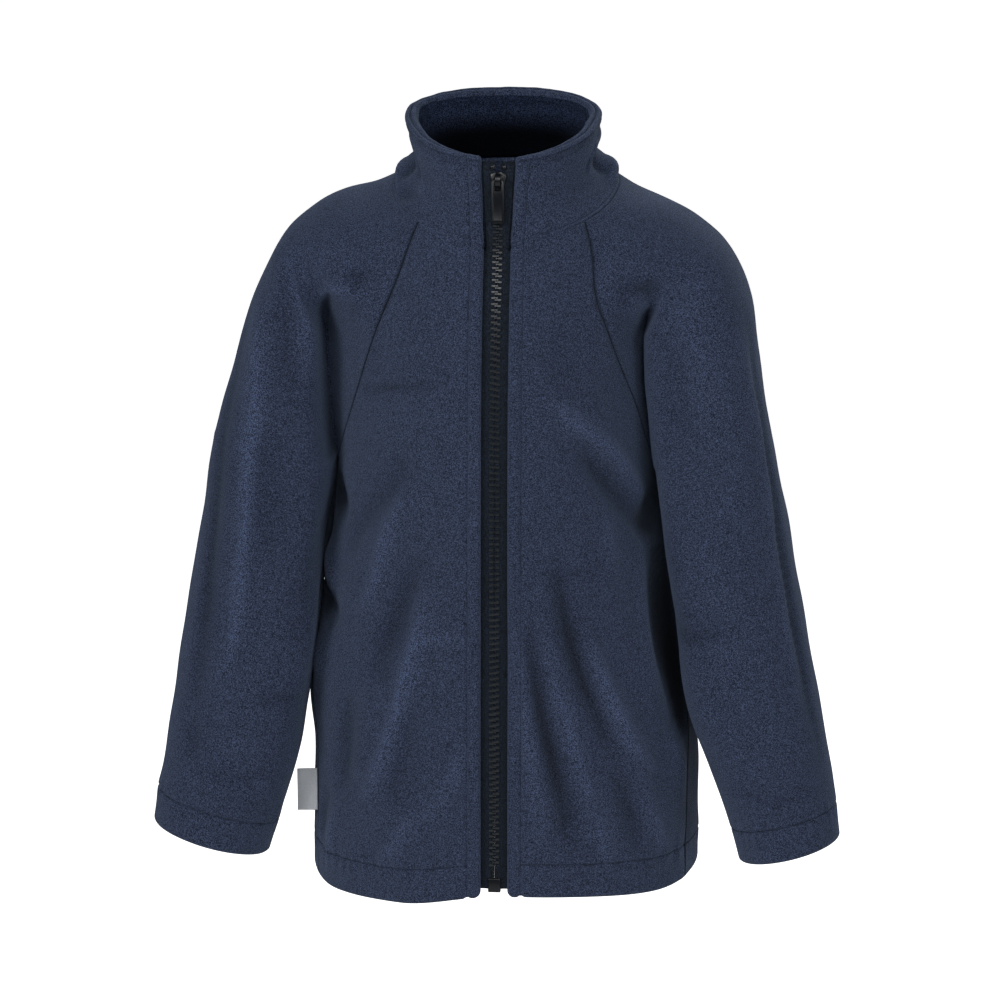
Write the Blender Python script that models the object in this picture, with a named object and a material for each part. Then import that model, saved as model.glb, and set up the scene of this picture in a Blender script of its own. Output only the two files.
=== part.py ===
"""A child's fleece jacket with raglan sleeves, a stand collar and an open-end zip, filled out as if worn.

Frame: metres, +Z up. The front faces -Y and the wearer's left arm is on the +X side. The origin is in the
middle of the neck, level with the high shoulder points, where a wearer's neck and shoulders carry the jacket.
Lengths below are in millimetres and angles in degrees; MM turns a length into metres.

Every cloth piece is a grid of points on the form of the filled jacket, given a thickness. The trunk is a
stack of ovals. Each sleeve runs from the two raglan seams over the shoulder, closes under the arm and goes
on as a tube. Neighbouring pieces share the points of their seam, each drawn back by half the seam's gap.
"""

import math

import bmesh
import bpy
import numpy as np

MM = 0.001

# Cloth
FLEECE = 2.3           # thickness of one layer
TURNED = 4.2           # thickness where an edge is turned under and stitched
COLLAR_WALL = 5.0      # the collar is doubled
SEAM_GAP = 0.3
SEAM_MITRE = 2.6       # how much further back the cloth's inner face stops at the neck seam
HEM_DEPTH = 21.0
HEM_LEVEL = -417.0
CUFF_DEPTH = 20.0

# The trunk: half widths to the wearer's right and left of the zip, depths in front of and behind its widest
# line, and how square its front is (2 is an oval), at each height.
TRUNK_COLUMNS = ("height", "right", "left", "front", "back", "squareness")
TRUNK = (
    (-421, 116, 116, 99, 92, 2.45),
    (-340, 116, 116, 99, 92, 2.20),
    (-305, 119, 113, 99, 92, 2.05),
    (-250, 110, 103, 98, 92, 1.95),
    (-204, 104, 95, 98, 92, 1.95),
    (-168, 101, 90, 97, 91, 1.95),
    (-120, 100, 87, 95, 89, 1.95),
    (-70, 98, 86, 87, 82, 2.00),
    (-32, 85, 82, 75, 66, 2.00),
    (0, 67, 67, 66, 50, 2.00),
    (12, 62, 62, 63, 46, 2.00),
)
BACK_SQUARENESS = 2.2
UNDERARM_HEIGHT = -168.0

# The hem's height at each angle round the trunk, from the zip (0) to the centre back (180).
HEM_COLUMNS = ("angle", "right", "left")
HEM = ((0, -415, -415), (25, -422, -416), (55, -422, -418), (90, -417, -415), (180, -417, -417))

# The side seams lean forward below the arm.
SIDE_SEAM_COLUMNS = ("height", "angle")
SIDE_SEAM = ((-421, 70), (-340, 73), (-250, 80), (-168, 90))

# The neck seam: how high it runs at each angle round the trunk, from the zip (0) to the centre back (180).
NECK_COLUMNS = ("angle", "height")
NECK = ((0, -32), (38, -18), (90, 0), (142, 4), (180, 5))

# The raglan seams, from the neck seam to the point under the arm, on the trunk's form.
RAGLAN_COLUMNS = ("angle", "height")
RAGLAN_FRONT = {
    "right": ((38, -18), (41, -57), (54, -106), (70, -148), (82, -165), (90, -168)),
    "left": ((41, -17), (41, -50), (50, -88), (66, -129), (79, -160), (90, -168)),
}
RAGLAN_BACK = {
    "right": ((142, 4), (136, -50), (126, -104), (110, -150), (98, -165), (90, -168)),
    "left": ((142, 4), (136, -50), (126, -104), (110, -150), (98, -165), (90, -168)),
}

# The line over the top of each arm, from the neck seam to level with the point under the arm.
OVERARM_COLUMNS = ("out", "forward", "height")
OVERARM = {
    "right": (
        (83, -3, -6),
        (99, -2, -9.5),
        (114, 1, -16.5),
        (130, 5, -30),
        (149, 11, -67),
        (162, 16, -112),
        (173, 20, -150),
    ),
    "left": (
        (79, -3, -6),
        (96, -2, -12),
        (114, 1, -22),
        (129.5, 5, -35),
        (146, 11, -68),
        (151, 15, -102),
        (159, 20, -150),
    ),
}

# The sleeve below the armpit: rings at right angles to the arm.
SLEEVE_COLUMNS = ("height", "inner", "outer", "forward", "half_depth")
SLEEVE = {
    "right": (
        (-204, 106, 180, 14, 52),
        (-250, 111, 188, 22, 46),
        (-300, 117, 195, 32, 42),
        (-336, 123, 200, 38, 38),
        (-370, 133, 206, 43, 35),
        (-394, 140, 210, 45, 34),
    ),
    "left": (
        (-204, 97, 168, 14, 52),
        (-250, 104, 176, 22, 46),
        (-300, 111, 186, 32, 42),
        (-336, 124, 194, 38, 38),
        (-376, 138, 201, 43, 34),
        (-395, 143, 203, 45, 33),
    ),
}
SLEEVE_TILT = {"right": 15.5, "left": 14.0}
ARMPIT_HALF_DEPTH = 53.0
UNDERARM_TURN = 0.23   # the wall's inner corner under the arm leans this far towards the trunk
ARCH_FULLNESS = 2.5       # how square the sleeve is across its top, where the armpit's fold begins
BACK_ARCH_FULLNESS = 1.6  # the back of the shoulder is flatter than an oval
LEAN_FADES_OVER = 70.0   # the top ring is a little turned, and this far below it the rings are square

# The sleeve lies along the trunk's side down to here, closer behind the arm than in front of it.
REST_FADES = (-250.0, -315.0)
REST_GAP = 1.5
REST_POWER = {"front": 7, "back": 1.3}

# The fold at each armpit, where the sleeve hangs away from the trunk: it opens at this share of the way
# down the raglan seam and has its full depth a little further on.
FOLD_OPENS = 0.38
FOLD_FULL = 0.60
FOLD_TOP_HEIGHT = -80.0
FOLD_TOP_ANGLE = 74.0
FOLD_COLUMNS_PER_ROW = 0.6
# Between these bends, where 1 is doubled back, the cloth's inner face turns to stand behind a crease.
SHARP_FOLD = (0.25, 0.6)

# The trunk's largest folds: soft ridges, or troughs where the rise is negative. Each runs from one place on
# the form to another and fades at both ends.
FOLD_COLUMNS = ("side", "angle", "height", "end_angle", "end_height", "half_width", "rise")
FOLDS = (
    ("right", 31, -165, 60, -262, 13, 3.0),
    ("right", 30, -262, 47, -350, 13, 3.0),
    ("right", 18, -330, 36, -392, 13, 2.2),
    ("left", 16, -70, 58, -165, 12, 3.0),
    ("left", 8, -240, 17, -385, 12, 2.6),
    ("left", 22, -222, 48, -348, 12, 3.2),
    ("left", 36, -210, 60, -320, 12, 3.0),
    ("right", 150, -190, 128, -360, 16, 3.2),
    ("left", 152, -200, 132, -350, 16, 3.0),
    ("right", 172, -250, 166, -400, 16, 2.4),
    ("left", 166, -290, 158, -400, 15, 2.2),
)

# The collar's rings above the neck seam.
COLLAR_COLUMNS = ("front_height", "back_height", "half_width", "shift", "front", "back")
COLLAR = (
    (-18, 19, 60, 0, 73, 46),
    (-6, 28, 55.5, -0.5, 71, 43),
    (10, 40, 56.5, -1.5, 69, 41),
    (19, 46.5, 57.7, -2.0, 68, 39),
)
COLLAR_ROLL = 3.5      # the rolled top edge rises this far above the last ring

# The zip. Its middle plane follows the cloth's front, this far inside the cloth's surface.
ZIP_MIDDLE = 5.3
FRONT_EDGE = 8.0       # from the middle of the zip to the edge of the cloth
COLLAR_EDGE = 11.0     # the same at the top of the collar
TAPE_EDGE = 13.5
TAPE_SHORT = 1.25      # in the collar the tape stops this far short of the cloth's edge
TAPE_THICKNESS = 0.6
TAPE_TOP = 19.0
TAPE_BOTTOM = -411.0
TEETH_INNER = 0.15
TEETH_OUTER = 3.1
TEETH_THICKNESS = 2.6
TEETH_BOTTOM = -399.0
TEETH_BELOW_BRIDGE = 0.6
ZIP_ROWS = 26
ZIP_STATIONS = (13, 10, 7, 3, -6, -18, -32.5, -36, -404, -408)    # heights where the tapes' edges bend

# The slider, in its own frame: x across, y through, z along the zip, from the middle of its body.
SLIDER_HEIGHT = 7.5    # height of its middle in the jacket
SLIDER_OUTLINE = (
    (-3.6, -5.5), (3.6, -5.5), (4.0, 0.0), (4.8, 3.0), (4.4, 4.6), (1.6, 5.5),
    (-1.6, 5.5), (-4.4, 4.6), (-4.8, 3.0), (-4.0, 0.0),
)
SLIDER_THICKNESS = 5.4
SLIDER_CHANNEL = (6.9, 3.3, 10.0)   # width, thickness and length of the way for the teeth
SLIDER_SLOT = (6.0, 1.4)        # width and thickness of each way for a tape
SLIDER_BRIDGE = (1.3, 1.4)      # half width of the post between the rows, and where it starts
BAIL_HALF_WIDTH = 1.5
BAIL_OUTSIDE = (4.3, 3.8)       # half length and height
BAIL_INSIDE = (2.8, 2.5)
BAIL_MIDDLE = 0.8
BAIL_FOOT = 0.5                 # how deep its feet stand in the slider

# The pull tab, from its hinge pin
PIN_RADIUS = 0.6
PIN_ABOVE_SLIDER = 1.25
PIN_BELOW_BAIL_MIDDLE = 0.6
PULL_LENGTH = 24.5
PULL_WIDTH = 7.4
PULL_THICKNESS = 1.8
PULL_CORNERS = (0.9, 1.6)           # cut off at its top and at its bottom
PULL_WINDOW = (1.9, -5.8)           # half width and bottom; its top is the pin
PULL_RECESS = (2.4, -8.5, -22.5, 0.4)   # half width, top, bottom and depth

STOP_SIZE = (2.6, 2.6, 3.0)
STOP_OUT = 3.4
STOP_HEIGHT = 15.6

# The retaining box and the two pins at the zip's foot
BOX_SIZE = (7.4, 3.6, 8.5)
BOX_TOP = -404.5
BOX_SLOT = (2.1, 2.0, 7.0)
PIN_SIZE = (1.4, 1.4)
PIN_OUT = 1.15
PIN_TOP = -399.4
PIN_BOTTOM = -411.0
PIN_APART = 0.2                 # the box's own pin is this much further out
FIXED_PIN_SINKS = 1.0
EDGE_ROUNDING = 0.5

# The label in the wearer's right side seam
LABEL_TOP = -355.0
LABEL_SIZE = (12.5, 25.0)
LABEL_THICKNESS = 0.9
LABEL_DROOP = 2.0
LABEL_OUT = (-0.985, 0.17, 0.0)     # the way it stands out
LABEL_CLEARANCE = 0.5

SIDE_SIGN = {"right": -1.0, "left": 1.0}
DEGREE_OF_TRUNK = 1.7  # one degree round the trunk is about this long
LOWER_ROWS = 9
UPPER_ROWS = 12
PANEL_COLUMNS = 8
BACK_COLUMNS = 14
SLEEVE_ROWS = 9
SLEEVE_POINTS = 25
COLLAR_POINTS = 25


# ---------------------------------------------------------------- curves

def read(table, columns, name, at, key):
    """The value of a column where the key column has the value `at`, on a smooth curve through the rows."""
    rows = sorted(table, key=lambda row: row[columns.index(key)])
    xs = np.array([row[columns.index(key)] for row in rows], float)
    ys = np.array([row[columns.index(name)] for row in rows], float)
    return hermite(xs, ys, np.asarray(at, float))


def hermite(xs, ys, at):
    """A cubic through the points whose slopes never overshoot them."""
    step = np.diff(xs)
    rise = np.diff(ys) / step
    slope = np.concatenate([[rise[0]], (rise[:-1] + rise[1:]) / 2, [rise[-1]]])
    flat = rise[:-1] * rise[1:] <= 0
    slope[1:-1][flat] = 0
    index = np.clip(np.searchsorted(xs, at, side="right") - 1, 0, len(step) - 1)
    t = np.clip((at - xs[index]) / step[index], 0, 1)
    start, end = ys[index], ys[index + 1]
    pull_in, pull_out = slope[index] * step[index], slope[index + 1] * step[index]
    return (
        start * (1 + 2 * t) * (1 - t) ** 2
        + end * t**2 * (3 - 2 * t)
        + pull_in * t * (1 - t) ** 2
        - pull_out * t**2 * (1 - t)
    )


def lengths_along(points):
    steps = np.linalg.norm(np.diff(points, axis=0), axis=1)
    return np.concatenate([[0], np.cumsum(steps)])


def evenly(points, shares):
    """Points at these shares of the length of a polyline."""
    along = lengths_along(points)
    at = np.asarray(shares) * along[-1]
    return np.stack([np.interp(at, along, points[:, k]) for k in range(3)], axis=1)


def through(knots, count=200):
    """A smooth dense curve through a few knots of any dimension."""
    knots = np.asarray(knots, float)
    steps = np.linalg.norm(np.diff(knots, axis=0), axis=1)
    along = np.concatenate([[0], np.cumsum(steps)])
    at = np.linspace(0, along[-1], count)
    return np.stack([hermite(along, knots[:, k], at) for k in range(knots.shape[1])], axis=1)


def ease(t):
    t = np.clip(t, 0, 1)
    return t * t * (3 - 2 * t)


# ---------------------------------------------------------------- the form

def fold_rise(side, angle, height):
    """How far the folds lift the cloth here."""
    total = np.zeros_like(angle)
    for where, first, top, last, bottom, half_width, rise in FOLDS:
        if where != side:
            continue
        across, along = (last - first) * DEGREE_OF_TRUNK, bottom - top
        length = math.hypot(across, along)
        ahead, down = (angle - first) * DEGREE_OF_TRUNK, height - top
        share = (ahead * across + down * along) / length**2
        aside = (ahead * along - down * across) / length
        swell = np.sin(math.pi * np.clip(share, 0, 1)) ** 0.7
        total += rise * swell * np.exp(-((aside / half_width) ** 2))
    return total


def trunk(side, angle, height):
    """A point of the trunk's outside, at an angle from the zip round to the centre back."""
    angle, height = np.broadcast_arrays(np.asarray(angle, float), np.asarray(height, float))
    across = np.sin(np.radians(angle))
    ahead = np.cos(np.radians(angle))
    squareness = read(TRUNK, TRUNK_COLUMNS, "squareness", height, "height")
    power = 2 / np.where(ahead > 0, squareness, BACK_SQUARENESS)
    width = read(TRUNK, TRUNK_COLUMNS, side, height, "height")
    front = read(TRUNK, TRUNK_COLUMNS, "front", height, "height")
    back = read(TRUNK, TRUNK_COLUMNS, "back", height, "height")
    depth = np.where(ahead > 0, -front, back)
    x = SIDE_SIGN[side] * width * np.abs(across) ** power
    y = depth * np.abs(ahead) ** power
    away = np.hypot(x, y)
    grow = 1 + fold_rise(side, angle, height) / away
    return np.stack([x * grow, y * grow, height], axis=-1)


def flank(side, forward_y, height):
    """How far out the trunk's side is, this far in front of or behind its widest line."""
    width = read(TRUNK, TRUNK_COLUMNS, side, height, "height")
    front = read(TRUNK, TRUNK_COLUMNS, "front", height, "height")
    back = read(TRUNK, TRUNK_COLUMNS, "back", height, "height")
    squareness = read(TRUNK, TRUNK_COLUMNS, "squareness", height, "height")
    squareness = np.where(forward_y < 0, squareness, BACK_SQUARENESS)
    share = np.clip(np.abs(forward_y) / np.where(forward_y < 0, front, back), 0, 1)
    return width * (1 - share**squareness) ** (1 / squareness)


def angle_at(side, distance, height):
    """The angle at which the trunk's front is this far from the middle of the zip."""
    width = read(TRUNK, TRUNK_COLUMNS, side, height, "height")
    squareness = read(TRUNK, TRUNK_COLUMNS, "squareness", height, "height")
    share = (distance / width) ** (squareness / 2)
    return np.degrees(np.arcsin(share))


def neck_height(angle):
    return read(NECK, NECK_COLUMNS, "height", angle, "angle")


def seam(table, side):
    """A raglan seam from the neck to the underarm, evenly spaced, as (angle, height) and as points."""
    flat = through(table)
    points = trunk(side, flat[:, 0], flat[:, 1])
    along = lengths_along(points)
    at = np.linspace(0, along[-1], UPPER_ROWS)
    angle = np.interp(at, along, flat[:, 0])
    height = np.interp(at, along, flat[:, 1])
    return angle, height, trunk(side, angle, height)


# ---------------------------------------------------------------- grids of cloth

def normals_of(grid):
    along = np.gradient(grid, axis=0, edge_order=2)
    across = np.gradient(grid, axis=1, edge_order=2)
    normal = np.cross(across, along)
    return normal / np.linalg.norm(normal, axis=2, keepdims=True)


def draw_back(grid, edge, amount):
    """Moves one edge of a grid into the piece, at right angles to the edge and along the cloth."""
    normal = normals_of(grid)
    picks = {"top": (0, 1), "bottom": (-1, -2), "start": (0, 1), "end": (-1, -2)}[edge]
    row_wise = edge in ("top", "bottom")
    line = grid[picks[0]] if row_wise else grid[:, picks[0]]
    inner = grid[picks[1]] if row_wise else grid[:, picks[1]]
    facing = normal[picks[0]] if row_wise else normal[:, picks[0]]
    tangent = np.gradient(line, axis=0)
    inward = np.cross(facing, tangent)
    inward /= np.linalg.norm(inward, axis=1, keepdims=True)
    sign = np.sign(np.sum(inward * (inner - line), axis=1, keepdims=True))
    moved = line + inward * sign * amount
    grid = grid.copy()
    if row_wise:
        grid[picks[0]] = moved
    else:
        grid[:, picks[0]] = moved
    return grid


def shrink(grid, edges):
    for edge in edges:
        grid = draw_back(grid, edge, SEAM_GAP / 2)
    return grid


def inner_face(grid, thickness, outward, neck_edge):
    """The grid moved in by the cloth's thickness. `outward` is a rough direction for each point."""
    normal = normals_of(grid)
    sign = np.sign(np.sum(np.sign(np.sum(normal * outward, axis=2))))
    inward = away_from_folds(grid, -normal * sign)
    inner = grid + inward * thickness[..., None]
    return draw_back(inner, neck_edge, SEAM_MITRE)


def away_from_folds(grid, inward):
    """At a sharp fold the inner face stands straight behind the crease."""
    step = np.linalg.norm(np.diff(grid, axis=1), axis=2)
    hollow = np.zeros_like(grid)
    hollow[:, 1:-1] = (grid[:, :-2] + grid[:, 2:]) / 2 - grid[:, 1:-1]
    depth = np.linalg.norm(hollow, axis=2, keepdims=True) + 1e-9
    bend = np.zeros_like(depth)
    bend[:, 1:-1, 0] = depth[:, 1:-1, 0] / ((step[:, 1:] + step[:, :-1]) / 2)
    share = ease((bend - SHARP_FOLD[0]) / (SHARP_FOLD[1] - SHARP_FOLD[0]))
    mixed = inward * (1 - share) - hollow / depth * share
    return mixed / np.linalg.norm(mixed, axis=2, keepdims=True)


def wall(name, outer, inner, material):
    """A closed solid between two grids of one shape. Its triangles lean to the middle column."""
    rows, columns = outer.shape[:2]
    mesh = bmesh.new()
    front = [[mesh.verts.new(outer[i, j] * MM) for j in range(columns)] for i in range(rows)]
    rear = [[mesh.verts.new(inner[i, j] * MM) for j in range(columns)] for i in range(rows)]
    for i in range(rows - 1):
        for j in range(columns - 1):
            corners = [(i, j), (i, j + 1), (i + 1, j + 1), (i + 1, j)]
            if j < (columns - 1) / 2:
                corners = corners[1:] + corners[:1]
            for three in (corners[:3], corners[2:] + corners[:1]):
                mesh.faces.new([front[a][b] for a, b in three])
                mesh.faces.new([rear[a][b] for a, b in reversed(three)])
    rim = [(0, j) for j in range(columns)]
    rim += [(i, columns - 1) for i in range(1, rows)]
    rim += [(rows - 1, j) for j in range(columns - 2, -1, -1)]
    rim += [(i, 0) for i in range(rows - 2, 0, -1)]
    for (i, j), (k, m) in zip(rim, rim[1:] + rim[:1]):
        mesh.faces.new((front[i][j], rear[i][j], rear[k][m], front[k][m]))
    bmesh.ops.triangulate(mesh, faces=mesh.faces[:])
    return finish(name, mesh, material)


def finish(name, mesh, material):
    bmesh.ops.recalc_face_normals(mesh, faces=mesh.faces[:])
    data = bpy.data.meshes.new(name)
    mesh.to_mesh(data)
    mesh.free()
    data.materials.append(material)
    data.shade_smooth()
    data.set_sharp_from_angle(angle=math.radians(50))
    obj = bpy.data.objects.new(name, data)
    bpy.context.scene.collection.objects.link(obj)
    return obj


def finish_material(name, colour, roughness, metallic=0.0):
    material = bpy.data.materials.new(name)
    material.use_nodes = True
    shader = material.node_tree.nodes["Principled BSDF"]
    shader.inputs["Base Color"].default_value = (*colour, 1.0)
    shader.inputs["Roughness"].default_value = roughness
    shader.inputs["Metallic"].default_value = metallic
    return material


# ---------------------------------------------------------------- trunk panels

def side_angle(height):
    return read(SIDE_SEAM, SIDE_SEAM_COLUMNS, "angle", height, "height")


def hem_height(side, angle):
    return read(HEM, HEM_COLUMNS, side, angle, "angle")


def panel_grid(side, seam_table, start_angle, columns, edge_angle=None):
    """A front or half a back, from the hem up. Columns run from the centre line to the side.

    Up to the underarm the rows end at the side seam. Above it they end on the raglan seam, and the last row
    lies on the neck seam.
    """
    def first_at(height):
        return edge_angle(height) if edge_angle else start_angle

    share = np.linspace(0, 1, columns)
    rows = []
    rise = UNDERARM_HEIGHT - HEM_LEVEL
    steps = np.concatenate([[0, HEM_DEPTH], np.linspace(2 * HEM_DEPTH, rise, LOWER_ROWS)])
    for step in steps:
        up = step / rise
        level = HEM_LEVEL + step
        angle = first_at(level) + (side_angle(level) - first_at(level)) * share
        height = level + (hem_height(side, angle) - HEM_LEVEL) * (1 - up)
        rows.append(trunk(side, angle, height))
    seam_angle, seam_height, _ = seam(seam_table, side)
    seam_angle, seam_height = seam_angle[::-1], seam_height[::-1]
    top = neck_height(first_at(neck_height(start_angle)))
    for k in range(1, UPPER_ROWS):
        up = k / (UPPER_ROWS - 1)
        centre = UNDERARM_HEIGHT + (top - UNDERARM_HEIGHT) * up
        first = first_at(centre)
        angle = first + (seam_angle[k] - first) * share
        height = centre + (seam_height[k] - centre) * share
        chord = neck_height(first) + (neck_height(seam_angle[k]) - neck_height(first)) * share
        height = height + up**3 * (neck_height(angle) - chord)
        rows.append(trunk(side, angle, height))
    return np.array(rows)


def cloth_thickness(grid, hem_rows=2, edge_columns=0):
    thickness = np.full(grid.shape[:2], FLEECE)
    thickness[:hem_rows] = TURNED
    if edge_columns:
        thickness[:, :edge_columns] = TURNED
    return thickness


def from_axis(grid):
    """Rough outward directions for a piece that goes round the middle of the jacket."""
    outward = grid.copy()
    outward[..., 2] = 0
    return outward


def edge_distance(height):
    """How far the cloth's edge is from the middle of the zip: it opens a little up the collar."""
    up_collar = np.clip((height - NECK[0][1]) / (COLLAR[-1][0] - NECK[0][1]), 0, 1)
    return FRONT_EDGE + (COLLAR_EDGE - FRONT_EDGE) * up_collar


def front_panel(side, material):
    def edge(height):
        return angle_at(side, edge_distance(height), height)

    grid = panel_grid(side, RAGLAN_FRONT[side], 0.0, PANEL_COLUMNS, edge)
    second = grid[:, 0] + (grid[:, 1] - grid[:, 0]) * 0.5
    grid = np.concatenate([grid[:, :1], second[:, None], grid[:, 1:]], axis=1)
    grid = shrink(grid, ("end", "bottom"))
    inner = inner_face(grid, cloth_thickness(grid, edge_columns=2), from_axis(grid), "bottom")
    return wall(f"front_{side}", grid, inner, material)


def back_panel(material):
    halves = {side: panel_grid(side, RAGLAN_BACK[side], 180.0, BACK_COLUMNS // 2 + 1) for side in SIDE_SIGN}
    grid = np.concatenate([halves["right"][:, ::-1], halves["left"][:, 1:]], axis=1)
    grid = shrink(grid, ("start", "end", "bottom"))
    inner = inner_face(grid, cloth_thickness(grid), from_axis(grid), "bottom")
    return wall("back", grid, inner, material)


# ---------------------------------------------------------------- sleeves

def neck_arc(side):
    """The piece of the neck seam between the two raglan seams, front to back."""
    angle = np.linspace(RAGLAN_FRONT[side][0][0], RAGLAN_BACK[side][0][0], 60)
    return trunk(side, angle, neck_height(angle))


def arch(front, over, back, fullness, count=80):
    """Half an oval from the front seam over the arm to the back seam. A fullness of 2 is a true oval."""
    middle = (front + back) / 2
    turn = np.linspace(0, math.pi, count)[:, None]
    ahead, out = np.cos(turn), np.sin(turn)
    power = np.where(ahead > 0, 2 / fullness, 2 / np.minimum(fullness, BACK_ARCH_FULLNESS))
    ahead = np.sign(ahead) * np.abs(ahead) ** power
    return middle + (front - middle) * ahead + (over - middle) * out**power


def tube_from(front, over, back, half_depth, count=120):
    """Most of an oval: it leaves the trunk at `front`, goes round the arm and comes back at `back`."""
    middle = (front + back) / 2
    gap = (front - back) / 2
    half_gap = np.linalg.norm(gap)
    facing = gap / half_gap if half_gap > 1 else np.array([0.0, -1.0, 0.0])
    opening = math.asin(min(half_gap / half_depth, 1))
    out = (over - middle) / (1 + math.cos(opening))
    centre = middle + out * math.cos(opening)
    turn = np.linspace(math.pi - opening, opening - math.pi, count)[:, None]
    return centre + out * np.cos(turn) + facing * half_depth * np.sin(turn)


def fold_line(side, share):
    """Where the armpit's fold is deepest, in front and behind, at a share of the raglan seam's length."""
    down = np.clip((share - FOLD_OPENS) / (1 - FOLD_OPENS), 0, 1)
    height = FOLD_TOP_HEIGHT + (UNDERARM_HEIGHT - FOLD_TOP_HEIGHT) * down
    angle = FOLD_TOP_ANGLE + (90 - FOLD_TOP_ANGLE) * down
    return angle, 180 - angle, height


def lip(side, from_angle, from_height, to_angle, to_height, count=24):
    """The stretch of sleeve that still lies on the trunk's form, between the raglan seam and the fold."""
    share = np.linspace(0, 1, count)
    angle = from_angle + (to_angle - from_angle) * share
    height = from_height + (to_height - from_height) * share
    return trunk(side, angle, height)


def sleeve_shares(count=SLEEVE_POINTS):
    """Shares of the way round a sleeve: closer together near its two ends, where the folds are."""
    even = np.linspace(0, 1, count)
    return 0.6 * even + 0.4 * (1 - np.cos(math.pi * even)) / 2


def folded_row(before, round_arm, after, row):
    """The row with its folds on columns, one column nearer the seam for each of the last rows."""
    columns = math.ceil(FOLD_COLUMNS_PER_ROW * (UPPER_ROWS - 1 - row))
    lip_shares = np.linspace(0, 1, columns + 1)
    parts = (
        evenly(before, lip_shares)[:-1],
        evenly(round_arm, sleeve_shares(SLEEVE_POINTS - 2 * columns)),
        evenly(after, lip_shares)[1:],
    )
    return np.concatenate(parts)


def cap_rows(side):
    """The sleeve from the neck seam to the underarm. Each row runs from the front seam to the back seam."""
    front_angle, front_height, front = seam(RAGLAN_FRONT[side], side)
    back_angle, back_height, back = seam(RAGLAN_BACK[side], side)
    neck = neck_arc(side)
    top = neck[len(neck) // 2]
    sign = SIDE_SIGN[side]
    knots = [top] + [np.array([sign * out, -forward, height]) for out, forward, height in OVERARM[side]]
    over = evenly(through(knots), np.linspace(0, 1, UPPER_ROWS))
    shares = sleeve_shares()
    rows = []
    for k in range(UPPER_ROWS):
        down = k / (UPPER_ROWS - 1)
        fullness = 2 + (ARCH_FULLNESS - 2) * ease(down / FOLD_OPENS)
        smooth = evenly(arch(front[k], over[k], back[k], fullness), shares)
        smooth = neck_blend(evenly(neck, shares), smooth, down)
        fold_front, fold_back, height = fold_line(side, down)
        before = lip(side, front_angle[k], front_height[k], fold_front, height)
        after = lip(side, fold_back, height, back_angle[k], back_height[k])
        round_arm = tube_from(before[-1], over[k], after[0], ARMPIT_HALF_DEPTH)
        folded = folded_row(before, round_arm, after, k)
        open_share = ease((down - FOLD_OPENS) / (FOLD_FULL - FOLD_OPENS))
        rows.append(smooth + (folded - smooth) * open_share)
    return rows, over[-1]


def neck_blend(neck, row, down):
    """The first row is the neck seam itself, and its shape fades out in the next ones."""
    near = (1 - ease(down / 0.3))
    ends = row[[0, -1]] - neck[[0, -1]]
    share = np.linspace(0, 1, len(row))[:, None]
    carried = neck + ends[0] * (1 - share) + ends[1] * share
    middle = len(row) // 2
    bump = np.sin(math.pi * share)
    carried = carried + bump * (row[middle] - carried[middle])
    return row + (carried - row) * near


def lie_on_trunk(side, turn, x, y, z):
    """Draws the inner side of a sleeve's ring onto the trunk beside it."""
    toward = np.clip(-np.cos(turn), 0, 1)
    power = np.where(np.sin(turn) > 0, REST_POWER["front"], REST_POWER["back"])
    resting = 1 - ease((REST_FADES[0] - z) / (REST_FADES[0] - REST_FADES[1]))
    share = toward**power * resting
    return x + (flank(side, y, z) + REST_GAP - x) * share


def tube_rows(side, over):
    """The rings from the underarm to the cuff, each from the seam under the arm round and back to it."""
    sign = SIDE_SIGN[side]
    under = trunk(side, 90.0, UNDERARM_HEIGHT)
    middle = (under + over) / 2
    lean = under[1] - middle[1]
    first = (middle[2], abs(under[0]), abs(over[0]), -middle[1], ARMPIT_HALF_DEPTH)
    table = [first] + list(SLEEVE[side])
    bottom = table[-1][0]
    heights = list(np.linspace(first[0], bottom + CUFF_DEPTH, SLEEVE_ROWS)[1:]) + [bottom]
    tilt = math.tan(math.radians(SLEEVE_TILT[side]))
    shares = sleeve_shares()
    turn = np.linspace(math.pi, -math.pi, 120)
    rows = []
    for height in heights:
        inner, outer, forward, half_depth = (
            read(table, SLEEVE_COLUMNS, name, height, "height") for name in SLEEVE_COLUMNS[1:]
        )
        half = (outer - inner) / 2
        swing = lean * (1 - ease((first[0] - height) / LEAN_FADES_OVER))
        x = (inner + outer) / 2 + half * np.cos(turn)
        y = -forward - half_depth * np.sin(turn) - swing * np.cos(turn)
        z = height + tilt * half * np.cos(turn)
        x = lie_on_trunk(side, turn, x, y, z)
        rows.append(evenly(np.stack([sign * x, y, z], axis=1), shares))
    return rows


def sleeve(side, material):
    cap, over = cap_rows(side)
    rows = cap + tube_rows(side, over)
    grid = np.array(rows)
    grid = shrink(grid, ("start", "end", "top"))
    grid[UPPER_ROWS - 1, (0, -1), 0] += SIDE_SIGN[side] * SEAM_GAP
    return wall(f"sleeve_{side}", grid, sleeve_inside(grid, side), material)


def sleeve_inside(grid, side):
    """The sleeve's inner face. It stands above the point under the arm, where both folds end."""
    thickness = np.full(grid.shape[:2], FLEECE)
    thickness[-2:] = TURNED
    centre = grid.mean(axis=1, keepdims=True)
    inner = inner_face(grid, thickness, grid - centre, "top")
    for edge in ("start", "end"):
        inner = draw_back(inner, edge, SEAM_GAP)
    underarm = UPPER_ROWS - 1
    inner[underarm, (0, -1)] = grid[underarm, (0, -1)] + [-SIDE_SIGN[side] * UNDERARM_TURN, 0, FLEECE]
    return inner


# ---------------------------------------------------------------- collar

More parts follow.
